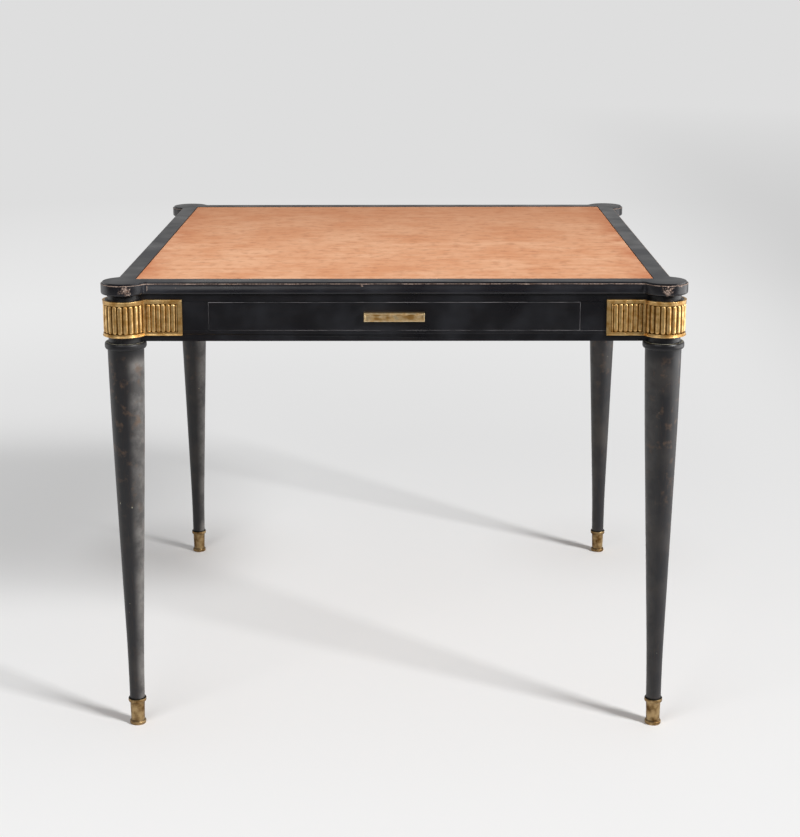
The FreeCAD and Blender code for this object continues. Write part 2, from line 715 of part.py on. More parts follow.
def make_corner_block(quarters, corner):
    name = f"block_{corner}"
    body = new_body(f"{name}_body")
    far, near, side = block_far, f"{block_far} - block_thickness * sqrt(2)", apron_inner
    shape = outline(body, "XY_Plane", f"{name}_plan", ((far, side), (side, far), (side, near), (near, side)))
    bind(shape, **{"AttachmentOffset.Base.z": block_low})
    padded(body, shape, "block_height", f"{name}_solid")
    over_leg(body, quarters)
    finish(cut(name, body, [corner_block_screws, top_screw_group]), f"corner_block_{corner}")


# Drawer and what it runs on

def on_left(low, high):
    return f"-({high})", f"-({low})"


def on_right(low, high):
    return low, high


def both_sides(make):
    make("left", on_left)
    make("right", on_right)


def make_drawer():
    side_start = f"({front_back} - lap_depth)"
    inner_half = f"({side_inner} + bottom_groove)"
    bottom_z = (bottom_low, bottom_high)
    groove_z = (f"{bottom_low} - bottom_fit", f"{bottom_high} + bottom_fit")
    bottom_front = f"({front_back} - bottom_groove)"

    front_x, front_z = (f"-{side_outer}", side_outer), (drawer_low, drawer_high)
    blank = box("front_board", front_x, (face, front_back), front_z)
    front_cuts = [box("front_groove", (f"-{inner_half}", inner_half), (bottom_front, front_back), groove_z),
                  handle_screw_group]

    def make_side(way, x):
        across, z = x(side_inner, side_outer), (drawer_low, side_top)
        front_cuts.append(box(f"lap_{way}", across, (side_start, front_back), z))
        board = box(f"side_{way}_board", across, (side_start, side_end), z)
        slot = box(f"side_{way}_groove", x(side_inner, inner_half), (bottom_front, side_end), groove_z)
        finish(cut(f"side_{way}", board, [slot]), f"drawer_side_{way}")

    both_sides(make_side)
    finish(cut("drawer_face", blank, front_cuts), "drawer_front")
    bottom_half = f"({inner_half} - bottom_fit)"
    bottom_y = (f"{bottom_front} + bottom_fit", side_end)
    finish(box("bottom", (f"-{bottom_half}", bottom_half), bottom_y, bottom_z), "drawer_bottom")
    finish(box("back", (f"-{side_inner}", side_inner), (f"{side_end} - back_thickness", side_end),
               (bottom_high, side_top)), "drawer_back")


def make_handle():
    low, high = f"{drawer_middle} - handle_height / 2", f"{drawer_middle} + handle_height / 2"
    end, crest = "handle_length / 2", f"({face} - handle_projection)"
    bar = box("bar", (f"-{end}", end), (crest, face), (low, high))
    field_x, field_y = (f"handle_rim - {end}", f"{end} - handle_rim"), (crest, f"{crest} + handle_sink")
    field = box("bar_field", field_x, field_y, (f"{low} + handle_rim", f"{high} - handle_rim"))
    finish(cut("handle", bar, [field, handle_screw_group]), "drawer_handle")


def make_running_gear():
    y = (rail_back, f"-{rail_back}")
    stops = []

    def make_rails(way, x):
        wide, narrow = x(runner_inner, runner_outer), x(opening_half, runner_outer)
        guide_z = (runner_top, f"{runner_top} + guide_height")
        kicker_z = (f"{side_top} + runner_gap", underside)
        finish(box(f"runner_{way}", wide, y, (apron_bottom, runner_top)), f"drawer_runner_{way}")
        finish(box(f"guide_{way}", narrow, y, guide_z), f"drawer_guide_{way}")
        finish(box(f"kicker_{way}", wide, y, kicker_z), f"drawer_kicker_{way}")
        stop_x = x("stop_spacing / 2 - stop_length / 2", "stop_spacing / 2 + stop_length / 2")
        stop_z = (opening_bottom, f"{opening_bottom} + stop_height")
        stops.append(box(f"stop_{way}", stop_x, (front_back, rail_back), stop_z))

    both_sides(make_rails)
    finish(grouped("stops", stops), "drawer_stops")


for quarters, corner in enumerate(corners):
    make_leg(quarters, corner)
    make_sabot(quarters, corner)
    make_mount(quarters, corner)
    make_ear(quarters, corner)
    make_corner_block(quarters, corner)
for quarters, side in enumerate(sides):
    make_border(quarters, side)
make_top()
make_friezes()
make_drawer()
make_handle()
make_running_gear()
doc.recompute()

# Checks, then one file for each piece

cutting = ("PartDesign::SubtractiveBox", "PartDesign::SubtractiveCylinder", "PartDesign::Groove")
for item in doc.Objects:
    if "Invalid" in item.State or "Error" in item.State:
        raise RuntimeError(f"{item.Name} failed: {item.State}")
    if item.TypeId in cutting:
        if item.BaseFeature.Shape.Volume - item.Shape.Volume <= 0:
            raise RuntimeError(f"{item.Name} cuts nothing")
for piece in pieces:
    if piece.Shape.isNull() or not piece.Shape.isValid() or not piece.Shape.Solids:
        raise RuntimeError(f"{piece.Label} has no sound solid")
for piece in pieces:
    piece.Shape.exportStep(f"parts/{piece.Label}.step")
whole = Part.makeCompound([piece.Shape for piece in pieces]).optimalBoundingBox(False)
print(len(pieces), "pieces,", sum(len(piece.Shape.Solids) for piece in pieces), "solids")
print(f"X {whole.XMin:.1f} to {whole.XMax:.1f}, Y {whole.YMin:.1f} to {whole.YMax:.1f}, "
      f"Z {whole.ZMin:.1f} to {whole.ZMax:.1f}")
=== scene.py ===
from functools import partial
from math import asin, atan2, ceil, copysign, cos, pi, radians, sin, sqrt

import bmesh
import bpy
from mathutils import Matrix, Vector, noise


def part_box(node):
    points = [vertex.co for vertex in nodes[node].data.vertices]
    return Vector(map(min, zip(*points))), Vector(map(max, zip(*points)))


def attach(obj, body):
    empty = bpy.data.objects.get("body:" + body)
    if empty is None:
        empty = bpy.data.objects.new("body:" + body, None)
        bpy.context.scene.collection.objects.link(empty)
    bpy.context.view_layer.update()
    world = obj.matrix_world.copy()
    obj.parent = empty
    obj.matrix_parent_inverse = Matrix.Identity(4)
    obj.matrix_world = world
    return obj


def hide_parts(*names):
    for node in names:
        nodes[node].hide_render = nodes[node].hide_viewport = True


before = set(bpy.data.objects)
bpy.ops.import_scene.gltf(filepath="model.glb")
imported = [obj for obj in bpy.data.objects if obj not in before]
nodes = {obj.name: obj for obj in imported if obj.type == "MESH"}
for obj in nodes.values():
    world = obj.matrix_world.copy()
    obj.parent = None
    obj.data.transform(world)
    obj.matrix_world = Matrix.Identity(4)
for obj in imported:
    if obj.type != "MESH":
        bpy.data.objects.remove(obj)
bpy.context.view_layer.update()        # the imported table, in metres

# Bridge table: ebonised wood, gilt bronze mounts, brass sabots and handle, suede top.
# Everything is in metres, +Z up, the drawer faces -Y, and the origin is on the floor under the top.
# A corner's pieces are drawn about its leg's axis, with +X and +Y running in along the friezes.

mm = 0.001
corners = ("front_left", "front_right", "back_right", "back_left")  # a quarter turn apart, in this order
sides = ("front", "right", "back", "left")
smooth = {"interpolation_type": "SMOOTHSTEP"}

legLow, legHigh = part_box("leg_front_left")
legAxis = -(legLow.x + legHigh.x) / 2  # from the middle of the table to a leg's axis, both ways
topLow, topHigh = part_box("border_front")
underside, tableTop = topLow.z, topHigh.z
topEdge = -topLow.y  # from the middle to the straight edge of the top
earJoint = legAxis - topHigh.x  # from a leg's axis to its ear's joints with the rails
mountLow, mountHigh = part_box("corner_mount_front_left")
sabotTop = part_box("sabot_front_left")[1].z
apronLow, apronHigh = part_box("apron_back")
friezeFace = apronHigh.y - legAxis  # from the legs' axes out to the friezes' faces
friezeBack = legAxis - apronLow.y  # and in to their backs
suedeLow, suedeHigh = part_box("playing_surface")


# Small tools

def stage(text):
    print("scene:", text)


def millimetres(**given):
    # A dictionary of lengths in metres, from millimetres, alone or in rows
    def metres(value):
        return tuple(map(metres, value)) if isinstance(value, tuple) else value * mm
    return {name: metres(value) for name, value in given.items()}


def linear(hexColour):
    # sRGB hex to the linear values that Blender's sockets take
    parts = [int(hexColour[i:i + 2], 16) / 255 for i in (1, 3, 5)]
    return tuple(c / 12.92 if c <= 0.04045 else ((c + 0.055) / 1.055) ** 2.4 for c in parts) + (1.0,)


def feed(node, wanted):
    # Sets or links a node's inputs. A node as a value stands for its first output, None leaves an input alone
    for key, value in wanted.items():
        source = value.outputs[0] if isinstance(value, bpy.types.Node) else value
        if isinstance(source, bpy.types.NodeSocket):
            node.id_data.links.new(source, node.inputs[key])
        elif source is not None:
            node.inputs[key].default_value = source


def addNode(tree, kind, *values, **named):
    # A node of a kind, a shader's unless it says otherwise, with its operation after a space. Values go to its
    # inputs in order and keywords with a capital by name. The other keywords are settings
    kind, _, operation = kind.partition(" ")
    node = tree.nodes.new(kind if "Node" in kind else "ShaderNode" + kind)
    if operation:
        node.operation = operation
    for setting in [key for key in named if key[0].islower()]:
        setattr(node, setting, named.pop(setting))
    feed(node, {**dict(enumerate(values)), **named})
    return node


def newMaterial(name):
    # The material, what adds nodes to it, its shader and the coordinates of its patterns
    material = bpy.data.materials.new(name)
    material.use_nodes = True
    add = partial(addNode, material.node_tree)
    return material, add, material.node_tree.nodes["Principled BSDF"], add("TexCoord").outputs["Object"]


def blotches(add, at, size, detail, low, high, *to, **settings):
    # Noise of a real size, spread out between two of its levels
    return add("MapRange", add("TexNoise", at, Scale=1 / size, Detail=detail, **settings), low, high, *to)


def grainOf(add, at, along, wide, long, detail):
    # Noise drawn out along one axis, for wood
    scales = [1 / wide] * 3
    scales["xyz".index(along)] = 1 / long
    return add("TexNoise", add("Mapping", at, None, None, scales), Scale=1.0, Detail=detail)


def newObject(name, mesh, *materials):
    piece = bpy.data.objects.new(name, mesh)
    bpy.context.scene.collection.objects.link(piece)
    for material in materials:
        mesh.materials.append(material)
    return piece


def settled(piece):
    # The modifiers' result as a plain mesh, with no modifier left
    graph = bpy.context.evaluated_depsgraph_get()
    graph.update()
    source = piece.evaluated_get(graph)
    made = bpy.data.meshes.new_from_object(source, preserve_all_data_layers=True, depsgraph=graph)
    old = piece.data
    piece.modifiers.clear()
    piece.data = made
    bpy.data.meshes.remove(old)
    return piece


def discard(piece):
    mesh = piece.data
    bpy.data.objects.remove(piece)
    bpy.data.meshes.remove(mesh)


def smoothUpTo(mesh, degrees):
    mesh.polygons.foreach_set("use_smooth", [True] * len(mesh.polygons))
    mesh.set_sharp_from_angle(angle=radians(degrees))


def mergedCopy(node):
    # A CAD node's mesh is loose triangles
    builder = bmesh.new()
    builder.from_mesh(nodes[node].data)
    bmesh.ops.remove_doubles(builder, verts=builder.verts, dist=1e-6)
    return builder


def meshOf(name, builder):
    mesh = bpy.data.meshes.new(name)
    builder.to_mesh(mesh)
    builder.free()
    return mesh


def bevelled(piece, width, **settings):
    bevel = piece.modifiers.new("bevel", "BEVEL")
    bevel.width = width
    bevel.segments = 2
    bevel.use_clamp_overlap = False
    for setting, value in settings.items():
        setattr(bevel, setting, value)
    return settled(piece)


def cutAway(piece, *boxes):
    # Takes boxes, each given by its low and high corner, out of the piece
    builder = bmesh.new()
    for low, high in boxes:
        size = Vector(high) - Vector(low)
        middle = (Vector(high) + Vector(low)) / 2
        bmesh.ops.create_cube(builder, size=1, matrix=Matrix.Translation(middle) @ Matrix.Diagonal((*size, 1)))
    cutter = newObject("cutter", meshOf("cutter", builder))
    boolean = piece.modifiers.new("cut", "BOOLEAN")
    boolean.operation = "DIFFERENCE"
    boolean.solver = "EXACT"
    boolean.use_self = True
    boolean.object = cutter
    settled(piece)
    discard(cutter)


def eased(points, ease, steps=3):
    # A profile with its corners rounded off, by less where a stretch is short
    points = [Vector(point) for point in points]
    result = [points[0]]
    for before, corner, after in zip(points, points[1:], points[2:]):
        back, on = before - corner, after - corner
        if pi - back.angle(on) < radians(12):
            result.append(corner)
            continue
        start, end = (corner + way.normalized() * min(ease, 0.45 * way.length) for way in (back, on))
        for step in range(steps + 1):
            share = step / steps
            result.append(start.lerp(corner, share).lerp(corner.lerp(end, share), share))
    return result + [points[-1]]


def stitch(builder, rings, capped=False):
    # Faces between each ring of points and the next; a ring of one point is a pole
    for one, other in zip(rings, rings[1:]):
        count = max(len(one), len(other))
        for k in range(count):
            around = ((one, k), (one, k + 1), (other, k + 1), (other, k))
            builder.faces.new(dict.fromkeys(ring[at % len(ring)] for ring, at in around))
    for cap in (rings[0], rings[-1]) if capped else ():
        builder.faces.new(cap)


def lathe(name, profile, steps):
    # Turns a profile of (radius, height) about Z, from one end on the axis to the other
    builder = bmesh.new()
    rings = []
    for radius, height in profile:
        turns = [2 * pi * k / steps for k in range(steps if radius > 0 else 1)]
        rings.append([builder.verts.new((radius * cos(a), radius * sin(a), height)) for a in turns])
    stitch(builder, rings)
    return meshOf(name, builder)


def plateOf(builder, grid, footOf):
    # A closed plate: the grid of points is its face, and footOf gives the point of its flat back behind one
    for one, other in zip(grid, grid[1:]):
        for k in range(len(one) - 1):
            builder.faces.new((one[k], other[k], other[k + 1], one[k + 1]))
    lastU, lastV = len(grid) - 1, len(grid[0]) - 1
    rim = [grid[k][0] for k in range(lastU)] + [grid[lastU][k] for k in range(lastV)]
    rim += [grid[k][lastV] for k in range(lastU, 0, -1)] + [grid[0][k] for k in range(lastV, 0, -1)]
    foot = [builder.verts.new(footOf(v.co)) for v in rim]
    for k in range(len(rim)):
        after = (k + 1) % len(rim)
        builder.faces.new((rim[after], rim[k], foot[k], foot[after]))
    builder.faces.new(list(reversed(foot)))


def roundedBy(distance, radius):
    # How far a rounded edge has dropped at this distance in from the side, as a share of its radius
    short = max(0.0, 1 - distance / radius)
    return 1 - sqrt(max(0.0, 1 - short * short))


def aboutLeg(add, at):
    # How far out a point is along X and along Y, its height, and its distance from the nearest leg's axis
    x, y, z = add("SeparateXYZ", at).outputs
    x, y = add("Math ABSOLUTE", x), add("Math ABSOLUTE", y)
    away = add("VectorMath DISTANCE", add("CombineXYZ", x, y, legAxis), (legAxis,) * 3)
    return x, y, z, away.outputs["Value"]


def toCorner(quarters):
    # From about the front left leg's axis to any corner
    return Matrix.Rotation(radians(90 * quarters), 4, "Z") @ Matrix.Translation((-legAxis, -legAxis, 0))


def place(piece, body, slot, *replaced):
    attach(piece, body)
    if replaced:
        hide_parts(*replaced)


def atCorners(model, name, node, slot, degrees):
    # Copies of a corner's piece at all four legs, each in place of its node, smooth up to this angle
    smoothUpTo(model.data, degrees)
    for quarters, corner in enumerate(corners):
        mesh = model.data.copy()
        mesh.transform(toCorner(quarters))
        place(newObject(f"{name}_{corner}", mesh), "table", slot, f"{node}_{corner}")
    discard(model)


# Camera and room

view = {
    "pictureHeight": 837,  # pixels
    "focalPixels": 1720.4,
    "axisRow": 300.0,  # picture row that the lens points at
    "standsAt": (0.02651, -3.62530, 1.44819),  # in spacings of the legs
    "turns": (("Z", 0.291), ("X", 90 - 11.072), ("Z", -0.100)),  # degrees: left, up from straight down, roll
    "sensor": 36.0,  # mm, the picture's longer side
}


def makeCamera():
    data = bpy.data.cameras.new("camera")
    data.sensor_width = view["sensor"]
    data.lens = view["focalPixels"] * view["sensor"] / view["pictureHeight"]
    data.shift_y = (view["axisRow"] - view["pictureHeight"] / 2) / view["pictureHeight"]
    data.clip_end = 200
    camera = bpy.data.objects.new("camera", data)
    yaw, tilt, roll = (Matrix.Rotation(radians(degrees), 4, axis) for axis, degrees in view["turns"])
    camera.matrix_world = Matrix.Translation(Vector(view["standsAt"]) * 2 * legAxis) @ (yaw @ tilt @ roll)
    bpy.context.scene.collection.objects.link(camera)
    bpy.context.scene.camera = camera
    bpy.context.scene.view_settings.view_transform = "Standard"


room = {
    "floorColour": "#f3f3f3",
    "floorReach": 60.0,
    "backdrop": ("#efefef", "#dedede"),  # beside the table and far away: painted light, brighter near the table
    "backdropFar": (1.5, 6.0),  # distance over which it turns from one to the other
    "fade": (1.0, 3.4),  # distance over which the floor turns into the backdrop
    "nearShare": 0.42,  # of the backdrop's colour glowing in the floor beside the table, painted light that lightens its shadows
    "feet": (0.02, 0.3, 0.02),  # near each foot that share falls, over this distance, to this, so the shadows there stay dark
    "aside": (0.8, 2.0, "#cbcbcb"),  # painted shade: the backdrop's right side darkens from here to here, to this
    "asideFar": (4.0, 12.0),  # and less far behind
    "glossBehind": (-1.2, 0.2),  # gloss sees the floor's backdrop from here back
    "frontDark": (-2.4, -1.2, 0.12),  # and sees the floor in front darken over this stretch, to this level, as painted shade in reflections
    "lights": {  # place, width, height, power, and whether the floor gets its light
        "key softbox": ((8.9, -6.6, 6.7), 2.4, 2.4, 1780.0, True),
        "front softbox": ((-1.0, -1.9, 1.9), 1.3, 1.3, 17.0, True),
        "left low softbox": ((-2.2, 0.1, 0.85), 1.5, 1.6, 5.0, False),
        "right low softbox": ((2.1, -0.2, 0.5), 2.2, 0.95, 17.0, False),
    },
    "aim": (0, 0, 0.6),
    "skyLevel": 0.52,
    "depth": (-0.75, 0.35, 0.15, 1.0),  # from behind the camera to behind the table: directions, then levels
    "leftRight": (-1.0, 1.0, 0.72, 1.17),
    "overhead": (0.25, 0.95, 1.0, 0.6),
}


def makeFloor():
    reach = room["floorReach"]
    mesh = bpy.data.meshes.new("floor")
    square = [(-reach, -reach, 0), (reach, -reach, 0), (reach, reach, 0), (-reach, reach, 0)]
    mesh.from_pydata(square, [], [(0, 1, 2, 3)])
    paper, add, shader, at = newMaterial("white paper floor")
    feed(shader, {"Base Color": linear(room["floorColour"]), "Roughness": 0.9, "Specular IOR Level": 0.1})
    rays = add("LightPath").outputs
    x, y, z = add("SeparateXYZ", at).outputs
    away = add("VectorMath LENGTH", at).outputs["Value"]

    # How much of it is seen as backdrop
    inGloss = add("Math MULTIPLY", rays["Is Glossy Ray"], add("MapRange", y, *room["glossBehind"]))
    seen = add("Math MAXIMUM", rays["Is Camera Ray"], inGloss)
    # Painted light: a glow that lightens the floor's shadows, with less of it near each foot
    beside = add("MapRange", aboutLeg(add, at)[3], *room["feet"], room["nearShare"], **smooth)
    share = add("Math MULTIPLY", add("MapRange", away, *room["fade"], beside, 1.0, **smooth), seen)

    near, distant = room["backdrop"]
    start, end, darker = room["aside"]
    # Painted light and shade: the backdrop is brighter near the table and darker far away and on the right
    tone = add("MixRGB", add("MapRange", away, *room["backdropFar"]), linear(near), linear(distant))
    aside = add("MapRange", x, start, end, **smooth)
    aside = add("Math MULTIPLY", aside, add("MapRange", away, *room["asideFar"], 1.0, 0.0))
    tone = add("MixRGB", aside, tone, linear(darker))
    mix = add("MixShader", share, shader, add("Emission", tone, 1.0))
    # Painted shade in reflections: gloss sees the floor in front as a dark glow
    start, end, level = room["frontDark"]
    inFront = add("Math MULTIPLY", rays["Is Glossy Ray"], add("MapRange", y, start, end, 1.0, 0.0))
    mix = add("MixShader", inFront, mix, add("Emission", (level, level, level, 1.0), 1.0))
    feed(paper.node_tree.nodes["Material Output"], {"Surface": mix})
    floor = newObject("floor", mesh, paper)
    return floor


def makeLights(floor):
    # The low softboxes stand on the floor and would burn it out beside them
    allButFloor = bpy.data.collections.new("all but the floor")
    allButFloor.objects.link(floor)
    allButFloor.collection_objects[0].light_linking.link_state = "EXCLUDE"
    for name, (at, width, height, power, onFloor) in room["lights"].items():
        data = bpy.data.lights.new(name, "AREA")
        data.shape = "RECTANGLE"
        data.size, data.size_y = width, height
        data.energy = power
        light = bpy.data.objects.new(name, data)
        light.visible_camera = False
        light.location = at
        light.rotation_euler = (Vector(room["aim"]) - Vector(at)).to_track_quat("-Z", "Y").to_euler()
        if not onFloor:
            light.light_linking.receiver_collection = allButFloor
        bpy.context.scene.collection.objects.link(light)


def makeSurroundings():
    # The room is pale behind and beside the table and dark behind the camera
    world = bpy.data.worlds.new("studio")
    world.use_nodes = True
    bpy.context.scene.world = world
    world.node_tree.nodes.clear()
    add = partial(addNode, world.node_tree)
    x, y, z = add("SeparateXYZ", add("TexCoord").outputs["Generated"]).outputs
    level = add("MapRange", y, *room["depth"], **smooth)
    across = add("MapRange", x, *room["leftRight"], **smooth)
    above = add("MapRange", z, *room["overhead"], **smooth)
    for factor in (across, above, room["skyLevel"]):
        level = add("Math MULTIPLY", level, factor)
    lit = add("Background", (1, 1, 1, 1), level)
    seen = add("Background", linear(room["backdrop"][1]), 1.0)
    add("OutputWorld", add("MixShader", add("LightPath").outputs["Is Camera Ray"], lit, seen))


makeCamera()
makeLights(makeFloor())
makeSurroundings()
stage("camera, floor and lights")


# Ebonised wood

ebony = millimetres(
    grain=(0.7, 45), grainDepth=0.03,  # width, length and depth of its pores
    smudge=70, fleck=2.4,  # of the shellac's rubbed patches and of dark in the bare wood
    arrisWear=(22, 0.5, 1.2),  # along the bare line on the top's arris, and how wide that is
    ringWear=(18, 0.5, 0.95),  # and along the painted highlight line on the ring's upper arris
    ringChip=7, chipRagged=3.4, chipFleck=2.6,  # of the ring's chips, and the top's outlines and insides
    rubbedEdge=45)
chipReach = 0.75  # how ragged the top's chips are, of their size
# Grey of the arris lines: rubbed shellac, and a painted highlight on the bevels
rubbedEdge = ("#29292c", "#6e6b6d")
finishes = {  # bare: wood and primer where the black has worn off; on the turned legs, also the pale colour of the painted highlight on the ring
    "board": {"black": "#0a0a0e", "brown": "#20150f", "rubbed": "#16171c", "bare": ("#a99b92", "#6e4f3c"),
              "roughness": (0.26, 0.42), "specular": 0.38},
    "top": {"black": "#111116", "brown": "#2a1c14", "rubbed": "#1f2026", "bare": ("#a08c80", "#4f3423"),
            "roughness": (0.26, 0.42), "specular": 0.42},
    # the turned legs' black and rubbed tones are lighter than the boards', a painted sheen for the broad
    # reflections on their sides
    "turned": {"black": "#17171a", "brown": "#3f2f22", "rubbed": "#2f2b29", "bare": ("#a3a493", "#77705f"),
               "roughness": (0.34, 0.48), "specular": 0.4},
}
worn = {  # the legs' rubbed brown patches, mostly on their upper parts, and a painted sheen on their inner sides
    "patch": 17 * mm, "cut": (0.55, 0.72), "share": 0.75, "colour": "#5a4534",
    "fewer": (300 * mm, 470 * mm, 0.15, 1.0),  # they come in between these heights, from share to share
    "sideSheen": "#716e6b", "sideSheenPatch": (38 * mm, 7.0, 0.38, 0.60, 0.25, 0.85),  # grey, a painted sheen on the legs' inner sides
    "inner": (0.05, 0.85),  # how far round the inner side, in radii, the painted sheen comes in
    "right": (-0.3, 0.3, 1.0, 0.3),  # less on the right-hand legs, whose inner sides face away from the light
    "top": (598 * mm, 616 * mm),  # and none on the ring and above
}
chips = (  # on the top's edge: where, and half its width and height, in mm
    ((-408, -449.8, 714.6), 7, 7),
    ((415, -450.5, 714), 6.6, 7.6),
    ((433, -445, 721.5), 7.5, 1.6),
    ((-49, -429, 719.2), 1.9, 1.5),
    ((-334, -429, 715.8), 1.1, 1.1),
    ((-377.7, -429, 715), 0.7, 6.5),
)


def makeEbonised(name, along, finish, bare=None, *thin):
    # Beech stained black under shellac: deep, slightly blue black with a soft sheen and faint grain.
    # bare tells where the black has worn off and, on the legs, where a highlight is painted; thin tells where
    # it is thin and what colour shows there, which on the legs includes a painted sheen
    material, add, shader, at = newMaterial(name)
    grain = grainOf(add, at, along, *ebony["grain"], 3.0)
    smudge = add("TexNoise", at, Scale=1 / ebony["smudge"], Detail=5.0)
    roughness = add("MapRange", smudge, 0.35, 0.65, *finish["roughness"])
    coats = [(add("MapRange", grain, 0.52, 0.80, 0.0, 0.5), finish["brown"]),
             (add("MapRange", smudge, 0.48, 0.70), finish["rubbed"])]
    colour = linear(finish["black"])
    for share, tone in coats + [(where(add, at), tone) for where, tone in thin]:
        colour = add("MixRGB", share, colour, linear(tone))
    if bare:
        pale, dark = finish["bare"]
        share = bare(add, at)
        wood = add("MixRGB", blotches(add, at, ebony["fleck"], 4.0, 0.36, 0.60), linear(dark), linear(pale))
        colour = add("MixRGB", share, colour, wood)
        roughness = add("MapRange", share, 0.0, 1.0, roughness, 0.6)
    bump = add("Bump", Strength=0.5, Distance=ebony["grainDepth"], Height=grain)
    feed(shader, {"Base Color": colour, "Roughness": roughness, "Normal": bump,
                  "Specular IOR Level": finish["specular"]})
    return material


def wearAndHighlightLine(add, at, across, up, patch, *wear):
    # 1 within a line of wandering width where across and up are both near zero
    gap = add("VectorMath LENGTH", add("CombineXYZ", across, up, 0.0)).outputs["Value"]
    ratio = add("Math DIVIDE", gap, blotches(add, at, patch, 5.0, 0.35, 0.62, *wear))
    return add("MapRange", ratio, 0.7, 1.1, 1.0, 0.0)


def bareOnTop(add, at):
    # Worn where a point lies near the arris of the top's outline, or in a chip
    x, y, z, fromLeg = aboutLeg(add, at)
    square = add("Math SUBTRACT", add("Math MAXIMUM", x, y), topEdge)
    outline = add("Math MINIMUM", square, add("Math SUBTRACT", fromLeg, ear["radius"]))
    height = add("Math SUBTRACT", z, tableTop - ear["quirkDepth"])
    bare = wearAndHighlightLine(add, at, outline, height, *ebony["arrisWear"])
    ragged = blotches(add, at, ebony["chipRagged"], 5.0, 0.3, 0.7, -chipReach, chipReach)
    flecked = blotches(add, at, ebony["chipFleck"], 4.0, 0.42, 0.56, 0.2, 1.0)
    for spot, wide, high in chips:
        away = add("VectorMath SUBTRACT", at, [place * mm for place in spot])
        away = add("VectorMath MULTIPLY", away, (1 / (wide * mm), 1 / (wide * mm), 1 / (high * mm)))
        away = add("Math ADD", add("VectorMath LENGTH", away).outputs["Value"], ragged)
        chipped = add("Math MULTIPLY", add("MapRange", away, 0.6, 1.1, 1.0, 0.0), flecked)
        bare = add("Math MAXIMUM", bare, chipped)
    return bare


def ringHighlightAndChips(add, at):
    # A painted highlight, a thin pale line on the ring's upper arris, and a few small chips
    _, _, z, fromLeg = aboutLeg(add, at)
    across = add("Math SUBTRACT", fromLeg, leg["ring"] - leg["ringRound"][0])
    line = wearAndHighlightLine(add, at, across, add("Math SUBTRACT", z, leg["ringTop"]), *ebony["ringWear"])
    return add("Math MAXIMUM", line, blotches(add, at, ebony["ringChip"], 2.0, 0.765, 0.785))


def rubbedOnLeg(add, at):
    high = add("MapRange", add("SeparateXYZ", at).outputs["Z"], *worn["fewer"])
    patch = blotches(add, at, worn["patch"], 6.0, *worn["cut"], 0.0, worn["share"], Roughness=0.62)
    return add("Math MULTIPLY", high, patch)


def sideSheenOnLeg(add, at):
    # Painted sheen: grey on the sides that face each other across the table
    x, y, z = add("SeparateXYZ", at).outputs
    (shoulder, shoulderAt), foot = leg["shoulder"], leg["footRadius"]
    radius = add("MapRange", z, 0.0, shoulderAt, foot, shoulder)
    turn = add("Math DIVIDE", add("Math SUBTRACT", legAxis, add("Math ABSOLUTE", x)), radius)
    share = blotches(add, at, *worn["sideSheenPatch"], Roughness=0.65)
    for less in (add("MapRange", x, *worn["right"]), add("MapRange", z, *worn["top"], 1.0, 0.0)):
        share = add("Math MULTIPLY", share, less)
    return add("Math MULTIPLY", add("MapRange", turn, *worn["inner"], **smooth), share)


def blackOnLeg(add, at):
    # The ring and the necks by the mount keep most of their black
    return add("MapRange", add("SeparateXYZ", at).outputs["Z"], *worn["top"], 0.0, 0.85)


def makeArrisWearAndHighlight():
    # Shellac rubbed thin along an edge, with a painted highlight on its bevel: a grey line that comes and goes
    material, add, shader, at = newMaterial("rubbed shellac arris with painted highlight")
    colour = add("MixRGB", blotches(add, at, ebony["rubbedEdge"], 3.0, 0.38, 0.62), *map(linear, rubbedEdge))
    feed(shader, {"Base Color": colour, "Roughness": 0.5})
    return material


ear = millimetres(
    radius=35.5,  # about the leg's axis
    crease=5,  # hollow where the ear meets the straight edge
    quirkWidth=2.7, quirkDepth=2.6, lowerRound=3, ease=0.35,
    setback=0.6)  # inside the suede's edge
earSteps = {"crease": 6, "round": 5, "arc": 4}  # counts, and the arc's in degrees
leg = millimetres(
    foot=4, spigot=9.3, footRadius=11.9, collarSeat=3,
    ankle=(14.1, 159), shoulder=(24.1, 455), thigh=28.1,
    ring=32.2, ringTop=630.8, ringHeight=10.8,
    ringRound=(2.6, 4.4),  # its bulge, inwards and up
    neck=26, seat=30, ease=0.5,
    shoulderAt=20,  # from the axis to the friezes' shoulders
    mortiseEnd=6.2, mortise=(-1.1, 7.1))
turnedSteps = 96

wood = {
    "x": makeEbonised("ebonised beech along x", "x", finishes["board"]),
    "y": makeEbonised("ebonised beech along y", "y", finishes["board"]),
    "z": makeEbonised("ebonised beech turned", "z", finishes["turned"], ringHighlightAndChips,
                      (sideSheenOnLeg, worn["sideSheen"]), (rubbedOnLeg, worn["colour"]),
                      (blackOnLeg, finishes["board"]["black"])),
    "topX": makeEbonised("ebonised beech rail along x", "x", finishes["top"], bareOnTop),
    "topY": makeEbonised("ebonised beech rail along y", "y", finishes["top"], bareOnTop),
}
arris = makeArrisWearAndHighlight()


# Plain wood, steel, metals and suede

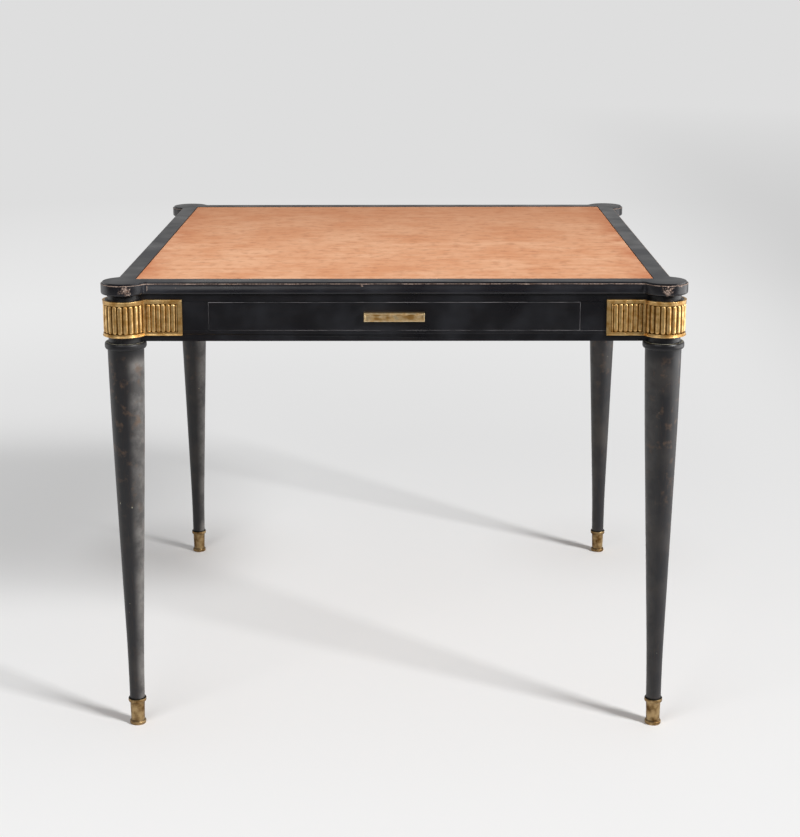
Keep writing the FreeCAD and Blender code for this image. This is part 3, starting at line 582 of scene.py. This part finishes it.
planed = {
    "grain": (1.4 * mm, 60 * mm), "grainDepth": 0.05 * mm, "tone": 90 * mm,
    "colours": ("#b98f63", "#8d6740", "#7b5836"),
}
metalFine = (1.6 * mm, 0.03 * mm)  # width and depth of the marks that a metal's polish leaves
suedeLook = {
    "middle": "#d9966c", "dark": "#b06f4a", "light": "#eab48e", "edge": "#b8633a", "sheen": "#ffc9a3",
    "streak": (130 * mm, 15 * mm),  # along and across
    "cloud": 85 * mm, "mottle": 19 * mm, "nap": (0.9 * mm, 0.12 * mm),
    "edgeWide": 45 * mm,  # how far the deeper colour comes in from the sides
    "rear": (-0.1, 0.4, 0.0, 0.55),  # painted shade: the rear half is darker, from here to here, by this share
    "frontLine": 4 * mm,  # the front edge is rubbed paler
}


def makePlainWood(name, along):
    # Planed beech, unfinished: pale, dry and even, with short flecks along the grain
    material, add, shader, at = newMaterial(name)
    grain = grainOf(add, at, along, *planed["grain"], 4.0)
    pale, fleck, darker = map(linear, planed["colours"])
    colour = add("MixRGB", add("MapRange", grain, 0.35, 0.68), pale, fleck)
    colour = add("MixRGB", blotches(add, at, planed["tone"], 2.0, 0.4, 0.7, 0.0, 0.35), colour, darker)
    bump = add("Bump", Strength=0.4, Distance=planed["grainDepth"], Height=grain)
    feed(shader, {"Base Color": colour, "Normal": bump, "Roughness": 0.62})
    return material


def makeMetal(name, bright, dark, roughness, patch, hollow=None):
    # A metal whose polish and patina change in patches; hollow gives the colour of dirt in recesses, on the
    # gilt mounts also of painted shade
    material, add, shader, at = newMaterial(name)
    patches = add("TexNoise", at, Scale=1 / patch, Detail=5.0)
    colour = add("MixRGB", add("MapRange", patches, 0.35, 0.65), linear(bright), linear(dark))
    rough = add("MapRange", patches, 0.35, 0.65, *roughness)
    if hollow:
        deep = add("Attribute", attribute_name="hollow").outputs["Fac"]
        deep = add("MapRange", deep, 0.25, 0.95, **smooth)
        colour = add("MixRGB", deep, colour, linear(hollow))
        rough = add("MapRange", deep, 0.0, 1.0, rough, 0.6)
    fine, depth = metalFine
    bump = add("Bump", Strength=0.6, Distance=depth, Height=add("TexNoise", at, Scale=1 / fine, Detail=3.0))
    feed(shader, {"Base Color": colour, "Roughness": rough, "Normal": bump, "Metallic": 1.0})
    return material


def makeSuede():
    # Goat suede, brushed and worn: soft and matt, with its nap lying in clouds and faint streaks, deeper in
    # colour where hands haven't rubbed it, along the sides, with painted shade on its rear half, and with a
    # slight velvet sheen
    material, add, shader, at = newMaterial("terracotta suede")
    look = suedeLook
    along, across = look["streak"]
    stretched = add("Mapping", at, None, None, (1 / along, 1 / across, 1.0))
    streak = add("TexNoise", stretched, Scale=1.0, Detail=6.0, Roughness=0.6, Distortion=0.9)
    cloudy = blotches(add, at, look["cloud"], 7.0, 0.34, 0.66, Roughness=0.66)
    share = add("Math ADD", cloudy, add("MapRange", streak, 0.36, 0.66, -0.30, 0.30), use_clamp=True)
    x, y, z = add("SeparateXYZ", at).outputs
    rimAt = suedeHigh.x
    near = add("MapRange", add("Math ABSOLUTE", x), rimAt - look["edgeWide"], rimAt, 0.0, 0.75)
    colour = linear(look["light"])
    for share, tone in (
            (share, "middle"),
            (blotches(add, at, look["mottle"], 6.0, 0.50, 0.74, 0.0, 0.6, Roughness=0.6), "dark"),
            (add("Math MULTIPLY", near, cloudy), "edge"),
            # painted shade on the rear half
            (add("MapRange", y, *look["rear"]), "dark"),
            (add("MapRange", y, -rimAt, look["frontLine"] - rimAt, 0.8, 0.0), "light")):
        colour = add("MixRGB", share, colour, linear(look[tone]))
    wide, deep = look["nap"]
    bump = add("Bump", Strength=0.5, Distance=deep, Height=add("TexNoise", at, Scale=1 / wide, Detail=3.0))
    feed(shader, {"Base Color": colour, "Normal": bump, "Roughness": 0.95, "Specular IOR Level": 0.15,
                  "Sheen Weight": 0.12, "Sheen Roughness": 0.6, "Sheen Tint": linear(look["sheen"])})
    return material


plain = {along: makePlainWood(f"planed beech along {along}", along) for along in "xyz"}
# The gilt's recess colour is dirt and painted shade between the reeds
gilt = makeMetal("gilt bronze, cast and worn", "#efc98a", "#b88c50", (0.33, 0.46), 9 * mm, "#60431b")
patinated = makeMetal("patinated brass", "#ad936a", "#644826", (0.36, 0.54), 11 * mm, "#26241f")
handled = makeMetal("polished brass worn by hands", "#f0d8ac", "#d4af79", (0.34, 0.48), 6 * mm, "#93703e")
steel = makeMetal("steel screws, dulled", "#8c8a86", "#55504a", (0.35, 0.55), 5 * mm)
suede = makeSuede()
stage("materials")


# Legs and sabots

def bend(free, tangent, slope, count):
    # From the free end to the tangent end, which the straight taper leaves at its slope
    (freeRadius, freeHeight), (radius, height) = free, tangent
    span = freeHeight - height
    pull = (freeRadius - radius - slope * span) / span ** 2
    heights = [freeHeight - span * k / count for k in range(count + 1)]
    return [(radius + slope * (z - height) + pull * (z - height) ** 2, z) for z in heights]


def makeLegs():
    (ankle, ankleAt), (shoulder, shoulderAt) = leg["ankle"], leg["shoulder"]
    slope = (shoulder - ankle) / (shoulderAt - ankleAt)
    ringLow, ringTop = leg["ringTop"] - leg["ringHeight"], leg["ringTop"]
    foot, neck, seat, spigot = leg["foot"], leg["neck"], leg["seat"], leg["spigot"]
    spigotTop = sabotTop - leg["collarSeat"]
    lower = bend((leg["footRadius"], sabotTop), leg["ankle"], slope, 8)
    upper = bend((leg["thigh"], ringLow), leg["shoulder"], slope, 12)[::-1]
    profile = [(0, foot), (spigot, foot), (spigot, spigotTop), (leg["footRadius"], spigotTop)] + lower + upper
    roundIn, roundUp = leg["ringRound"]
    turns = [radians(15 * k) for k in range(7)]
    bulge = [(leg["ring"] - roundIn * (1 - sin(a)), roundUp * (1 - cos(a))) for a in turns]
    profile += [(radius, ringLow + up) for radius, up in bulge]
    profile += [(radius, ringTop - up) for radius, up in reversed(bulge)]
    profile += [(neck, ringTop), (neck, mountLow.z), (seat, mountLow.z), (seat, mountHigh.z),
                (neck, mountHigh.z), (neck, underside), (0, underside)]
    model = newObject("leg", lathe("leg", eased(profile, leg["ease"]), turnedSteps), wood["z"])
    low, high, out = apronLow.z, underside + mm, seat + 5 * mm
    mortiseLow, mortiseHigh = leg["mortise"]
    notch = ((leg["shoulderAt"], -friezeFace, low), (out, friezeBack, high))
    mortise = ((leg["mortiseEnd"], mortiseLow, low), (leg["shoulderAt"] + mm, mortiseHigh, high))
    turned = [tuple((y, x, z) for x, y, z in box) for box in (notch, mortise)]
    cutAway(model, notch, mortise, *turned)
    atCorners(model, "turned_leg", "leg", "ebonised_wood", 30)


sabot = millimetres(
    pad=12.2,  # flat on the floor
    footRing=(12.9, 1.2, 6),  # its radius, low and high edge
    waist=10.8, under=11.5, flare=(12.3, 4.5),  # the hollow under the collar
    collar=(14.3, 7),  # radius and height
    ease=0.6,
    rimDirt=1.5,  # how far dirt comes down from the top
    creaseDirt=(-1.5, 0.5), stepDirt=(-0.7, 1.8))  # about the collar's lower and the ring's upper edge
flareSteps = 5
lesserDirt = 0.6  # in the crease and on the step, against 1 at the top


def makeSabots():
    ring, ringLow, ringHigh = sabot["footRing"]
    collar, collarTall = sabot["collar"]
    flare, flareHigh = sabot["flare"]
    collarLow, spigotTop = sabotTop - collarTall, sabotTop - leg["collarSeat"]
    waist, under, spigot, foot = sabot["waist"], sabot["under"], leg["spigot"], leg["foot"]
    profile = [(sabot["pad"], 0), (ring, ringLow), (ring, ringHigh - 1.2 * mm), (ring - mm, ringHigh),
               (waist + 0.6 * mm, ringHigh), (waist, ringHigh + 1.5 * mm), (under, collarLow - flareHigh)]
    shares = [k / flareSteps for k in range(1, flareSteps + 1)]
    profile += [(under + (flare - under) * s ** 2.2, collarLow + flareHigh * (s - 1)) for s in shares]
    profile += [(collar - 0.5 * mm, collarLow), (collar, collarLow + 2 * mm), (collar, sabotTop - 1.8 * mm),
                (collar - 1.1 * mm, sabotTop), (leg["footRadius"], sabotTop)]
    inside = [(leg["footRadius"], spigotTop), (spigot, spigotTop), (spigot, foot), (0, foot)]
    profile = [(0, 0)] + eased(profile, sabot["ease"]) + inside
    model = newObject("sabot", lathe("sabot", profile, turnedSteps), patinated)
    hollow = model.data.attributes.new("hollow", "FLOAT", "POINT")
    (creaseLow, creaseHigh), (stepLow, stepHigh) = sabot["creaseDirt"], sabot["stepDirt"]
    for vertex, dirt in zip(model.data.vertices, hollow.data):
        z, radius = vertex.co.z, vertex.co.xy.length
        crease = creaseLow < z - collarLow < creaseHigh
        step = stepLow < z - ringHigh < stepHigh and radius < ring - 0.4 * mm
        dirt.value = 1.0 if z > sabotTop - sabot["rimDirt"] else lesserDirt if step or crease else 0.0
    atCorners(model, "brass_sabot", "sabot", "sabot_brass", 40)


makeLegs()
makeSabots()
stage("legs and sabots")


# Corner mounts

mount = {
    **millimetres(
        radius=33.4, seat=30,
        face=11.5, back=8,  # plates, from the leg's axis
        reach=89.5, topBand=6.5, bottomBand=4.7, endBand=6.8, creaseBand=2.3,
        sink=2.3,  # bands down to the ground between the reeds
        bottomLip=((0, 0.5), (0.3, 0.9), (1.1, 0.9), (1.8, 0.15), (2.2, 0)),  # up from the end, and proud
        topLip=((0, 0.3), (0.3, 0.55), (1.0, 0.55), (1.5, 0.1), (1.9, 0)),  # down from the top, and proud
        groove=0.95,  # between two reeds at their roots
        rise=1.95, root=1.0,  # reed over and under the ground
        endGap=0.3, ease=0.3),
    "around": 14, "along": 7,
    "narrow": (0.36, 0.85, 1),  # the last reed of a plate, of the others' size
    "square": (0.95, 0.95, 1),  # 1 is a round section, less is squarer
    # share of the recess colour on the flat bands: tarnish, which leaves the proud lips brighter as a painted
    # highlight
    "bandDarkerThanLips": 0.48,
    "arcStep": 4,  # degrees
}
creaseAt = sqrt(mount["radius"] ** 2 - mount["face"] ** 2)
panelStart, panelEnd = creaseAt + mount["creaseBand"], mount["reach"] - mount["endBand"]
panelLow, panelHigh = mountLow.z + mount["bottomBand"], mountHigh.z - mount["topBand"]
arcHalf = radians(135) - asin(mount["face"] / mount["radius"])
panelHalf = arcHalf - mount["creaseBand"] / mount["radius"]
backHalf = radians(135) - asin(mount["back"] / mount["seat"])
middleTurn = radians(225)


def mountFrame():
    # The plan's columns run from one plate's end round the leg to the other's. A column is a function from
    # (proud, back) to its place, and whether it is sunk. The rows go up the front and down the back
    seat, rear, radius, face = mount["seat"], mount["back"], mount["radius"], mount["face"]

    def plate(distance):
        return lambda proud, back: (distance, -(rear if back else face + proud))

    def crease(proud, back):
        out, level = (seat, rear) if back else (radius + proud, face + proud)
        return sqrt(out ** 2 - level ** 2), -level

    def arc(turn):
        def at(proud, back):
            out = seat if back else radius + proud
            angle = middleTurn + turn * (backHalf / arcHalf if back else 1)
            return out * cos(angle), out * sin(angle)
        return at

    def flipped(at):
        return lambda proud, back: at(proud, back)[::-1]

    tip, start, end = map(plate, (mount["reach"], panelStart, panelEnd))
    run = [(tip, False), (end, False), (end, True), (start, True), (start, False), (crease, False)]
    steps = ceil(2 * panelHalf / radians(mount["arcStep"]))
    turns = [panelHalf - 2 * panelHalf * k / steps for k in range(steps + 1)]
    columns = run + [(arc(panelHalf), False)] + [(arc(turn), True) for turn in turns]
    columns += [(arc(-panelHalf), False)] + [(flipped(at), sunk) for at, sunk in reversed(run)]

    low, high = mountLow.z, mountHigh.z
    rows = [(low + up, proud, False) for up, proud in mount["bottomLip"]]
    rows += [(panelLow, 0, False), (panelLow, 0, True), (panelHigh, 0, True), (panelHigh, 0, False)]
    rows += [(high - down, proud, False) for down, proud in reversed(mount["topLip"])]
    builder = bmesh.new()
    hollow = builder.verts.layers.float.new("hollow")
    grid = []
    for at, sunk in columns:
        column = []
        for z, proud, panel in rows:
            deep = sunk and panel
            vertex = builder.verts.new((*at(-mount["sink"] if deep else proud, False), z))
            # Sunk ground: dirt and painted shade; flat bands: tarnish, leaving the lips brighter as a painted
            # highlight
            vertex[hollow] = 1.0 if deep else mount["bandDarkerThanLips"] if proud == 0 else 0.0
            column.append(vertex)
        grid.append(column + [builder.verts.new((*at(0, True), z)) for z in (high, low)])
    stitch(builder, grid, capped=True)
    bmesh.ops.remove_doubles(builder, verts=builder.verts, dist=1e-6)
    bmesh.ops.recalc_face_normals(builder, faces=builder.faces)
    return meshOf("mount", builder)


def newTree(name, **inputs):
    # A geometry tree with its named inputs, what adds nodes to it, and a socket for each input's name
    tree = bpy.data.node_groups.new(name, "GeometryNodeTree")
    tree.interface.new_socket("Geometry", in_out="OUTPUT", socket_type="NodeSocketGeometry")
    for label, kind in {"Geometry": "Geometry", **inputs}.items():
        tree.interface.new_socket(label, in_out="INPUT", socket_type="NodeSocket" + kind)
    return tree, partial(addNode, tree), tree.nodes.new("NodeGroupInput").outputs


def applyTree(piece, tree, **values):
    modifier = piece.modifiers.new(tree.name, "NODES")
    modifier.node_group = tree
    for item in tree.interface.items_tree:
        if item.name in values:
            modifier[item.identifier] = values[item.name]
    return settled(piece)


def makeReedTree():
    tree, add, given = newTree(
        "reeds", around="Int", along="Int", arcRadius="Float", arcPitch="Float", plateStart="Float",
        platePitch="Float", plateFace="Float", middle="Float", halfSize="Vector", straight="Vector",
        squareness="Vector", flatBack="Vector", narrowAt="Float", narrowScale="Vector", bronze="Material")

    # One reed: a ball squared off in section, drawn out along Z, whose outer side is -Y
    position = add("GeometryNodeInputPosition")
    x, y, z = add("SeparateXYZ", position).outputs
    # Dirt and painted shade: darker towards the reed's root and towards its lower end
    hollow = add("Math MULTIPLY", add("MapRange", y, -0.6, -0.05), add("MapRange", z, -1.0, 0.6, 1.0, 0.6))
    ball = add("GeometryNodeMeshUVSphere", 24, 16, 1.0)
    marked = add("GeometryNodeStoreNamedAttribute", ball, None, "hollow", hollow,
                 data_type="FLOAT", domain="POINT")
    size = add("VectorMath ABSOLUTE", position)
    for change, by in (("POWER", "squareness"), ("MULTIPLY", "halfSize"), ("ADD", "straight")):
        size = add("VectorMath " + change, size, given[by])
    shaped = add("VectorMath MULTIPLY", size, add("VectorMath SIGN", position))
    shaped = add("VectorMath MINIMUM", shaped, given["flatBack"])
    reed = add("GeometryNodeSetPosition", marked, None, shaped)

    # Where the reeds stand: round the leg and along both plates
    index = add("GeometryNodeInputIndex")
    half = add("Math DIVIDE", add("Math SUBTRACT", given["around"], 1.0), 2.0)
    angle = add("Math MULTIPLY_ADD", add("Math SUBTRACT", index, half), given["arcPitch"], middleTurn)
    roundX = add("Math MULTIPLY", add("Math COSINE", angle), given["arcRadius"])
    roundY = add("Math MULTIPLY", add("Math SINE", angle), given["arcRadius"])
    outward = add("Math ADD", angle, radians(90))
    distance = add("Math MULTIPLY_ADD", index, given["platePitch"], given["plateStart"])
    behind = add("Math MULTIPLY", given["plateFace"], -1.0)
    full, slim, turned = (1, 1, 1), given["narrowScale"], radians(-90)
    joined = add("GeometryNodeJoinGeometry")
    for count, x, y, turn, scale in (
            (given["around"], roundX, roundY, outward, full),
            (given["along"], distance, behind, 0.0, full), (given["along"], behind, distance, turned, full),
            (1, given["narrowAt"], behind, 0.0, slim), (1, behind, given["narrowAt"], turned, slim)):
        stands = add("CombineXYZ", x, y, given["middle"])
        points = add("GeometryNodeSetPosition", add("GeometryNodeMeshLine", count), None, stands)
        reeds = add("GeometryNodeInstanceOnPoints", points, Instance=reed, Scale=scale,
                    Rotation=add("CombineXYZ", 0.0, 0.0, turn))
        feed(joined, {0: reeds})
    feed(joined, {0: given["Geometry"]})
    real = add("GeometryNodeRealizeInstances", joined)
    add("NodeGroupOutput", add("GeometryNodeSetMaterial", real, None, given["bronze"]))
    return tree


def makeMounts():
    model = newObject("mount", mountFrame(), gilt)
    bevelled(model, mount["ease"], limit_method="ANGLE", angle_limit=radians(40))
    pitch = (panelEnd - panelStart) / (mount["along"] - 0.5)
    halfWidth = (pitch - mount["groove"]) / 2
    halfHeight = (panelHigh - panelLow) / 2 - mount["endGap"]
    lastStart = panelStart + (mount["along"] - 1) * pitch
    applyTree(model, makeReedTree(), around=mount["around"], along=mount["along"] - 1,
              narrowAt=(lastStart + panelEnd) / 2, narrowScale=mount["narrow"],
              arcRadius=mount["radius"] - mount["sink"], arcPitch=2 * panelHalf / mount["around"],
              plateStart=panelStart + pitch / 2, platePitch=pitch, plateFace=mount["face"] - mount["sink"],
              middle=(panelLow + panelHigh) / 2, halfSize=(halfWidth, mount["rise"], halfWidth),
              straight=(0, 0, halfHeight - halfWidth), squareness=mount["square"],
              flatBack=(1, mount["root"], 1), bronze=gilt)
    atCorners(model, "reeded_mount", "corner_mount", "gilt_bronze", 40)


makeMounts()
stage("corner mounts")


# Boards: softened copies of the CAD's own, whose bevelled edges may take a worn material with a painted
# highlight

boards = millimetres(longEdge=2.2, ease=0.4, drawerEase=0.6)


def softened(node, name, material, body="table", ease=boards["ease"], rubbed=None, skip=None):
    builder = mergedCopy(node)
    bmesh.ops.dissolve_limit(builder, angle_limit=radians(0.5), verts=builder.verts, edges=builder.edges)
    weight = builder.edges.layers.float.new("bevel_weight_edge")
    for edge in builder.edges:
        sharp = len(edge.link_faces) == 2 and edge.calc_face_angle() > radians(28)
        wanted = sharp and edge.calc_length() > boards["longEdge"] and not (skip and skip(edge))
        edge[weight] = 1.0 if wanted else 0.0
    mesh = meshOf(name, builder)
    mesh.materials.clear()
    piece = newObject(name, mesh, material, rubbed or material)
    smoothUpTo(mesh, 28)
    bevelled(piece, ease, limit_method="WEIGHT", material=1, harden_normals=True)
    place(piece, body, "plain_wood" if material in plain.values() else "ebonised_wood", node)


def near(one, other):
    return abs(one - other) < 0.01 * mm


def onEarJoint(edge):
    ends = [sorted((abs(v.co.x), abs(v.co.y))) for v in edge.verts]
    return all(near(less, legAxis - earJoint) or near(more, legAxis - earJoint) for less, more in ends)


def underDrawerOnly(edge):
    # Leaves out every edge but the one that shows under the drawer
    low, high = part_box("front_lower_rail")
    return not all(near(v.co.z, high.z) and near(v.co.y, low.y) for v in edge.verts)


def makeBoards():
    axes = dict(zip(sides, "xyxy"))
    for side, along in axes.items():
        softened(f"border_{side}", f"top_rail_{side}", wood["top" + along.upper()], skip=onEarJoint)
    for side in sides[1:]:
        softened(f"apron_{side}", f"frieze_{side}", wood[axes[side]], rubbed=arris)
    for node in ("front_upper_rail", "front_left_block", "front_right_block"):
        softened(node, f"{node}_finished", wood["x"])
    softened("front_lower_rail", "front_lower_rail_finished", wood["x"], rubbed=arris, skip=underDrawerOnly)
    softened("drawer_front", "drawer_face", wood["x"], "drawer", boards["drawerEase"], arris)
    softened("drawer_back", "drawer_end_board", plain["x"], "drawer")
    for way in ("left", "right"):
        softened(f"drawer_side_{way}", f"drawer_wall_{way}", plain["y"], "drawer")
        for node in ("runner", "guide", "kicker"):
            softened(f"drawer_{node}_{way}", f"drawer_{node}_planed_{way}", plain["y"])
    for corner in corners:
        softened(f"corner_block_{corner}", f"glue_block_{corner}", plain["z"])
    softened("drawer_stops", "stop_blocks", plain["x"])


def earRing(inset):
    # Closed outline at one height: the ear and its two hollows, drawn inset from the full outline
    straight = topEdge - legAxis
    edge, big, small = straight - inset, ear["radius"] - inset, ear["crease"] + inset
    middle = sqrt((ear["radius"] + ear["crease"]) ** 2 - (straight + ear["crease"]) ** 2)
    lean = atan2(edge + small, middle)  # below +X, from the leg's axis to the hollow's middle
    points = [Vector((earJoint, -edge))]
    for k in range(earSteps["crease"] + 1):
        angle = radians(90) + (radians(90) - lean) * k / earSteps["crease"]
        points.append(Vector((middle + small * cos(angle), -edge - small + small * sin(angle))))
    hollow = points[:]
    first, last = -lean, radians(-270) + lean
    count = ceil((first - last) / radians(earSteps["arc"]))
    for k in range(1, count):
        angle = first + (last - first) * k / count
        points.append(Vector((big * cos(angle), big * sin(angle))))
    return points + [Vector((p.y, p.x)) for p in reversed(hollow)]


def makeEars():
    inner = legAxis + suedeLow.x - ear["setback"]
    rounding, quirk, ledge = ear["lowerRound"], ear["quirkWidth"], tableTop - ear["quirkDepth"]
    turns = [radians(90) * k / earSteps["round"] for k in range(earSteps["round"] + 1)]
    section = [(rounding * (1 - sin(turn)), underside + rounding * (1 - cos(turn))) for turn in turns]
    upper = [section[-1], (0, ledge), (quirk, ledge), (quirk, tableTop), (quirk + 3 * mm, tableTop)]
    builder = bmesh.new()
    rings = []
    for inset, z in section + eased(upper, ear["ease"])[1:-1]:
        ring = earRing(inset) + [Vector((inner, earJoint)), Vector((inner, inner)), Vector((earJoint, inner))]
        rings.append([builder.verts.new((p.x, p.y, z)) for p in ring])
    stitch(builder, rings, capped=True)
    bmesh.ops.recalc_face_normals(builder, faces=builder.faces)
    model = newObject("ear", meshOf("ear", builder), wood["topX"])
    atCorners(model, "round_ear", "ear", "ebonised_wood", 30)


makeBoards()
makeEars()
for node in ("top_panel", "drawer_bottom"):
    for holder in nodes[node].material_slots:
        holder.material = plain["x"]
stage("boards and ears")


# Suede

cover = millimetres(
    edges=(0, 0.2, 0.6, 1.3),  # where its rolled edge is measured, in from its side
    roll=0.7,  # how far the edge rolls down
    inside=3,  # even cells from here in
    wave=(55, 40, 0.05))  # length, breadth and half height of its slight waves
coverCells = 190


def makeSuedePiece():
    low, high, size = suedeLow, suedeHigh, suedeHigh.x - suedeLow.x
    edges, inset = cover["edges"], cover["inside"]
    inside = [inset + (size - 2 * inset) * k / coverCells for k in range(coverCells + 1)]
    stops = [*edges, *inside, *(size - e for e in reversed(edges))]
    waveLong, waveBroad, waveHigh = cover["wave"]
    builder = bmesh.new()

    def pointAt(u, v):
        x, y = low.x + u, low.y + v
        wave = noise.noise(Vector((x / waveLong, y / waveBroad, 3.7)))
        drops = [cover["roll"] * roundedBy(min(along, size - along), edges[-1]) for along in (u, v)]
        return builder.verts.new((x, y, high.z - waveHigh * (1 + wave) - drops[0] - drops[1]))

    plateOf(builder, [[pointAt(u, v) for v in stops] for u in stops], lambda co: (co.x, co.y, low.z))
    piece = newObject("suede_cover", meshOf("suede", builder), suede)
    smoothUpTo(piece.data, 50)
    place(piece, "table", "suede", "playing_surface")


makeSuedePiece()
stage("suede")


# Handle

handle = {
    **millimetres(rim=1.8, slope=0.7, sink=0.8, round=1.0, dent=0.3, dentWide=5, tarnishWide=13),
    "roundStops": (0, 0.08, 0.25, 0.55, 1.0),
    "tarnish": (0.6, 1.0),  # brown inside the rim: its level and how much it varies
    "across": 150, "up": 26,
}


def makeHandle():
    low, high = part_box("drawer_handle")
    length, tall = high.x - low.x, high.z - low.z
    edge, dentWide = handle["round"], handle["dentWide"]
    level, varies = handle["tarnish"]
    builder = bmesh.new()
    hollow = builder.verts.layers.float.new("hollow")

    def pointAt(u, v):
        # Behind the crest of the rim by its rounding and, inside it, by the sunk and dented, browner face
        aside = min(u, length - u, v, tall - v)
        inside = min(1.0, max(0.0, (aside - handle["rim"]) / handle["slope"]))
        inside = inside * inside * (3 - 2 * inside)
        beat = noise.noise(Vector((u / dentWide, v / dentWide, 1.3)))
        patch = noise.noise(Vector((u / handle["tarnishWide"], v / dentWide, 7.1)))
        depth = edge * roundedBy(aside, edge) + inside * (handle["sink"] + handle["dent"] * beat)
        vertex = builder.verts.new((low.x + u, low.y + depth, low.z + v))
        vertex[hollow] = inside * (level + varies * patch)
        return vertex

    def stopsOf(size, count):
        fine = [edge * share for share in handle["roundStops"]]
        middle = [edge + (size - 2 * edge) * k / count for k in range(1, count)]
        return fine + middle + [size - f for f in reversed(fine)]

    across, up = stopsOf(length, handle["across"]), stopsOf(tall, handle["up"])
    plateOf(builder, [[pointAt(u, v) for v in up] for u in across], lambda co: (co.x, high.y, co.z))
    bmesh.ops.recalc_face_normals(builder, faces=builder.faces)
    piece = newObject("brass_handle", meshOf("handle", builder), handled)
    smoothUpTo(piece.data, 40)
    place(piece, "drawer", "handle_brass", "drawer_handle")


makeHandle()
stage("handle")


# Pins and screws

def outward(middle, size):
    # Away from the table's middle, along the fastener's own length
    return Vector([copysign(1, m) if s == max(size) else 0.0 for m, s in zip(middle, size)])


def cornerInward(middle, size):
    return Vector((-copysign(1, middle.x), -copysign(1, middle.y), 0)).normalized()


fasteners = {  # radius of the shank and of the head, and the head's height, in mm
    "mount_pins": {"name": "mount_pin_heads", "slot": "gilt_bronze", "sizes": (0.8, 1.3, 0.5), "form": "domed",
                   "faces": outward},
    "handle_screws": {"name": "handle_screw_set", "slot": "steel", "sizes": (2, 4, 2.5), "form": "round",
                      "faces": lambda middle, size: Vector((0, 1, 0))},
    "corner_block_screws": {"name": "lag_screw_set", "slot": "steel", "sizes": (3, 5.5, 3), "form": "round",
                            "faces": cornerInward},
    "top_screws": {"name": "countersunk_screw_set", "slot": "steel", "sizes": (2.2, 4.4, 2.6), "form": "flat",
                   "faces": lambda middle, size: Vector((0, 0, -1))},
}
fastenerSteps = 24
slotShares = (0.12, 0.45)  # half width of a head's slot and its depth, of the head's radius and height


def fastenerPlaces(node, faces):
    # The outer end of each loose part's head, which way that faces, and the part's length
    builder = mergedCopy(node)
    left = set(builder.verts)
    places = []
    while left:
        front, part = [left.pop()], []
        while front:
            vertex = front.pop()
            part.append(vertex.co.copy())
            fresh = {edge.other_vert(vertex) for edge in vertex.link_edges} & left
            left -= fresh
            front += fresh
        low, high = Vector(map(min, zip(*part))), Vector(map(max, zip(*part)))
        middle = (low + high) / 2
        aim = faces(middle, high - low)
        reach = [point.dot(aim) for point in part]
        places.append((middle + aim * (max(reach) - middle.dot(aim)), aim, max(reach) - min(reach)))
    builder.free()
    return sorted(places, key=lambda place: [round(c, 4) for c in place[0]])


def fastenerModel(form, length, shank, head, high):
    # Points down from its head's outer end at the origin
    profile = [(0, -length), (0.6 * shank, -length), (shank, 1.2 * shank - length), (shank, -high)]
    if form == "flat":
        profile += [(head, -0.1 * high), (head, 0), (0, 0)]
    elif form == "round":
        profile += [(0.96 * head, -high), (head, -0.9 * high), (head, -0.4 * high)]
        profile += [(0.93 * head, -0.16 * high), (0.65 * head, -0.04 * high), (0, 0)]
    else:
        turns = [radians(18 * k) for k in range(5)]
        profile += [(head * cos(turn), high * (sin(turn) - 1)) for turn in turns] + [(0, 0)]
    model = newObject("fastener", lathe("fastener", profile, fastenerSteps))
    if form != "domed":
        half, deep = slotShares[0] * head, slotShares[1] * high
        cutAway(model, ((-1.2 * head, -half, -deep), (1.2 * head, half, high)))
    smoothUpTo(model.data, 35)
    return model


def makeFastenerTree():
    tree, add, given = newTree("fasteners", model="Object", seed="Int", metal="Material")
    aim = add("GeometryNodeInputNamedAttribute", "aim", data_type="FLOAT_VECTOR")
    upright = add("FunctionNodeAlignRotationToVector", None, 1.0, aim, axis="Z")
    spin = add("FunctionNodeRandomValue", None, None, 0.0, pi, Seed=given["seed"], data_type="FLOAT")
    turned = add("CombineXYZ", 0.0, 0.0, spin.outputs[1])
    rotation = add("FunctionNodeRotateRotation", upright, turned, rotation_space="LOCAL")
    model = add("GeometryNodeObjectInfo", given["model"]).outputs["Geometry"]
    copies = add("GeometryNodeInstanceOnPoints", given["Geometry"], Instance=model, Rotation=rotation)
    real = add("GeometryNodeRealizeInstances", copies)
    add("NodeGroupOutput", add("GeometryNodeSetMaterial", real, None, given["metal"]))
    return tree


def makeFasteners():
    tree = makeFastenerTree()
    for seed, (node, item) in enumerate(fasteners.items()):
        places = fastenerPlaces(node, item["faces"])
        model = fastenerModel(item["form"], places[0][2], *(size * mm for size in item["sizes"]))
        mesh = bpy.data.meshes.new(item["name"])
        mesh.from_pydata([at for at, _, _ in places], [], [])
        aims = mesh.attributes.new("aim", "FLOAT_VECTOR", "POINT")
        aims.data.foreach_set("vector", [c for _, aim, _ in places for c in aim])
        metal = gilt if item["slot"] == "gilt_bronze" else steel
        piece = applyTree(newObject(item["name"], mesh), tree, model=model, seed=seed, metal=metal)
        discard(model)
        place(piece, "drawer" if node == "handle_screws" else "table", item["slot"], node)


makeFasteners()
stage("pins and screws")
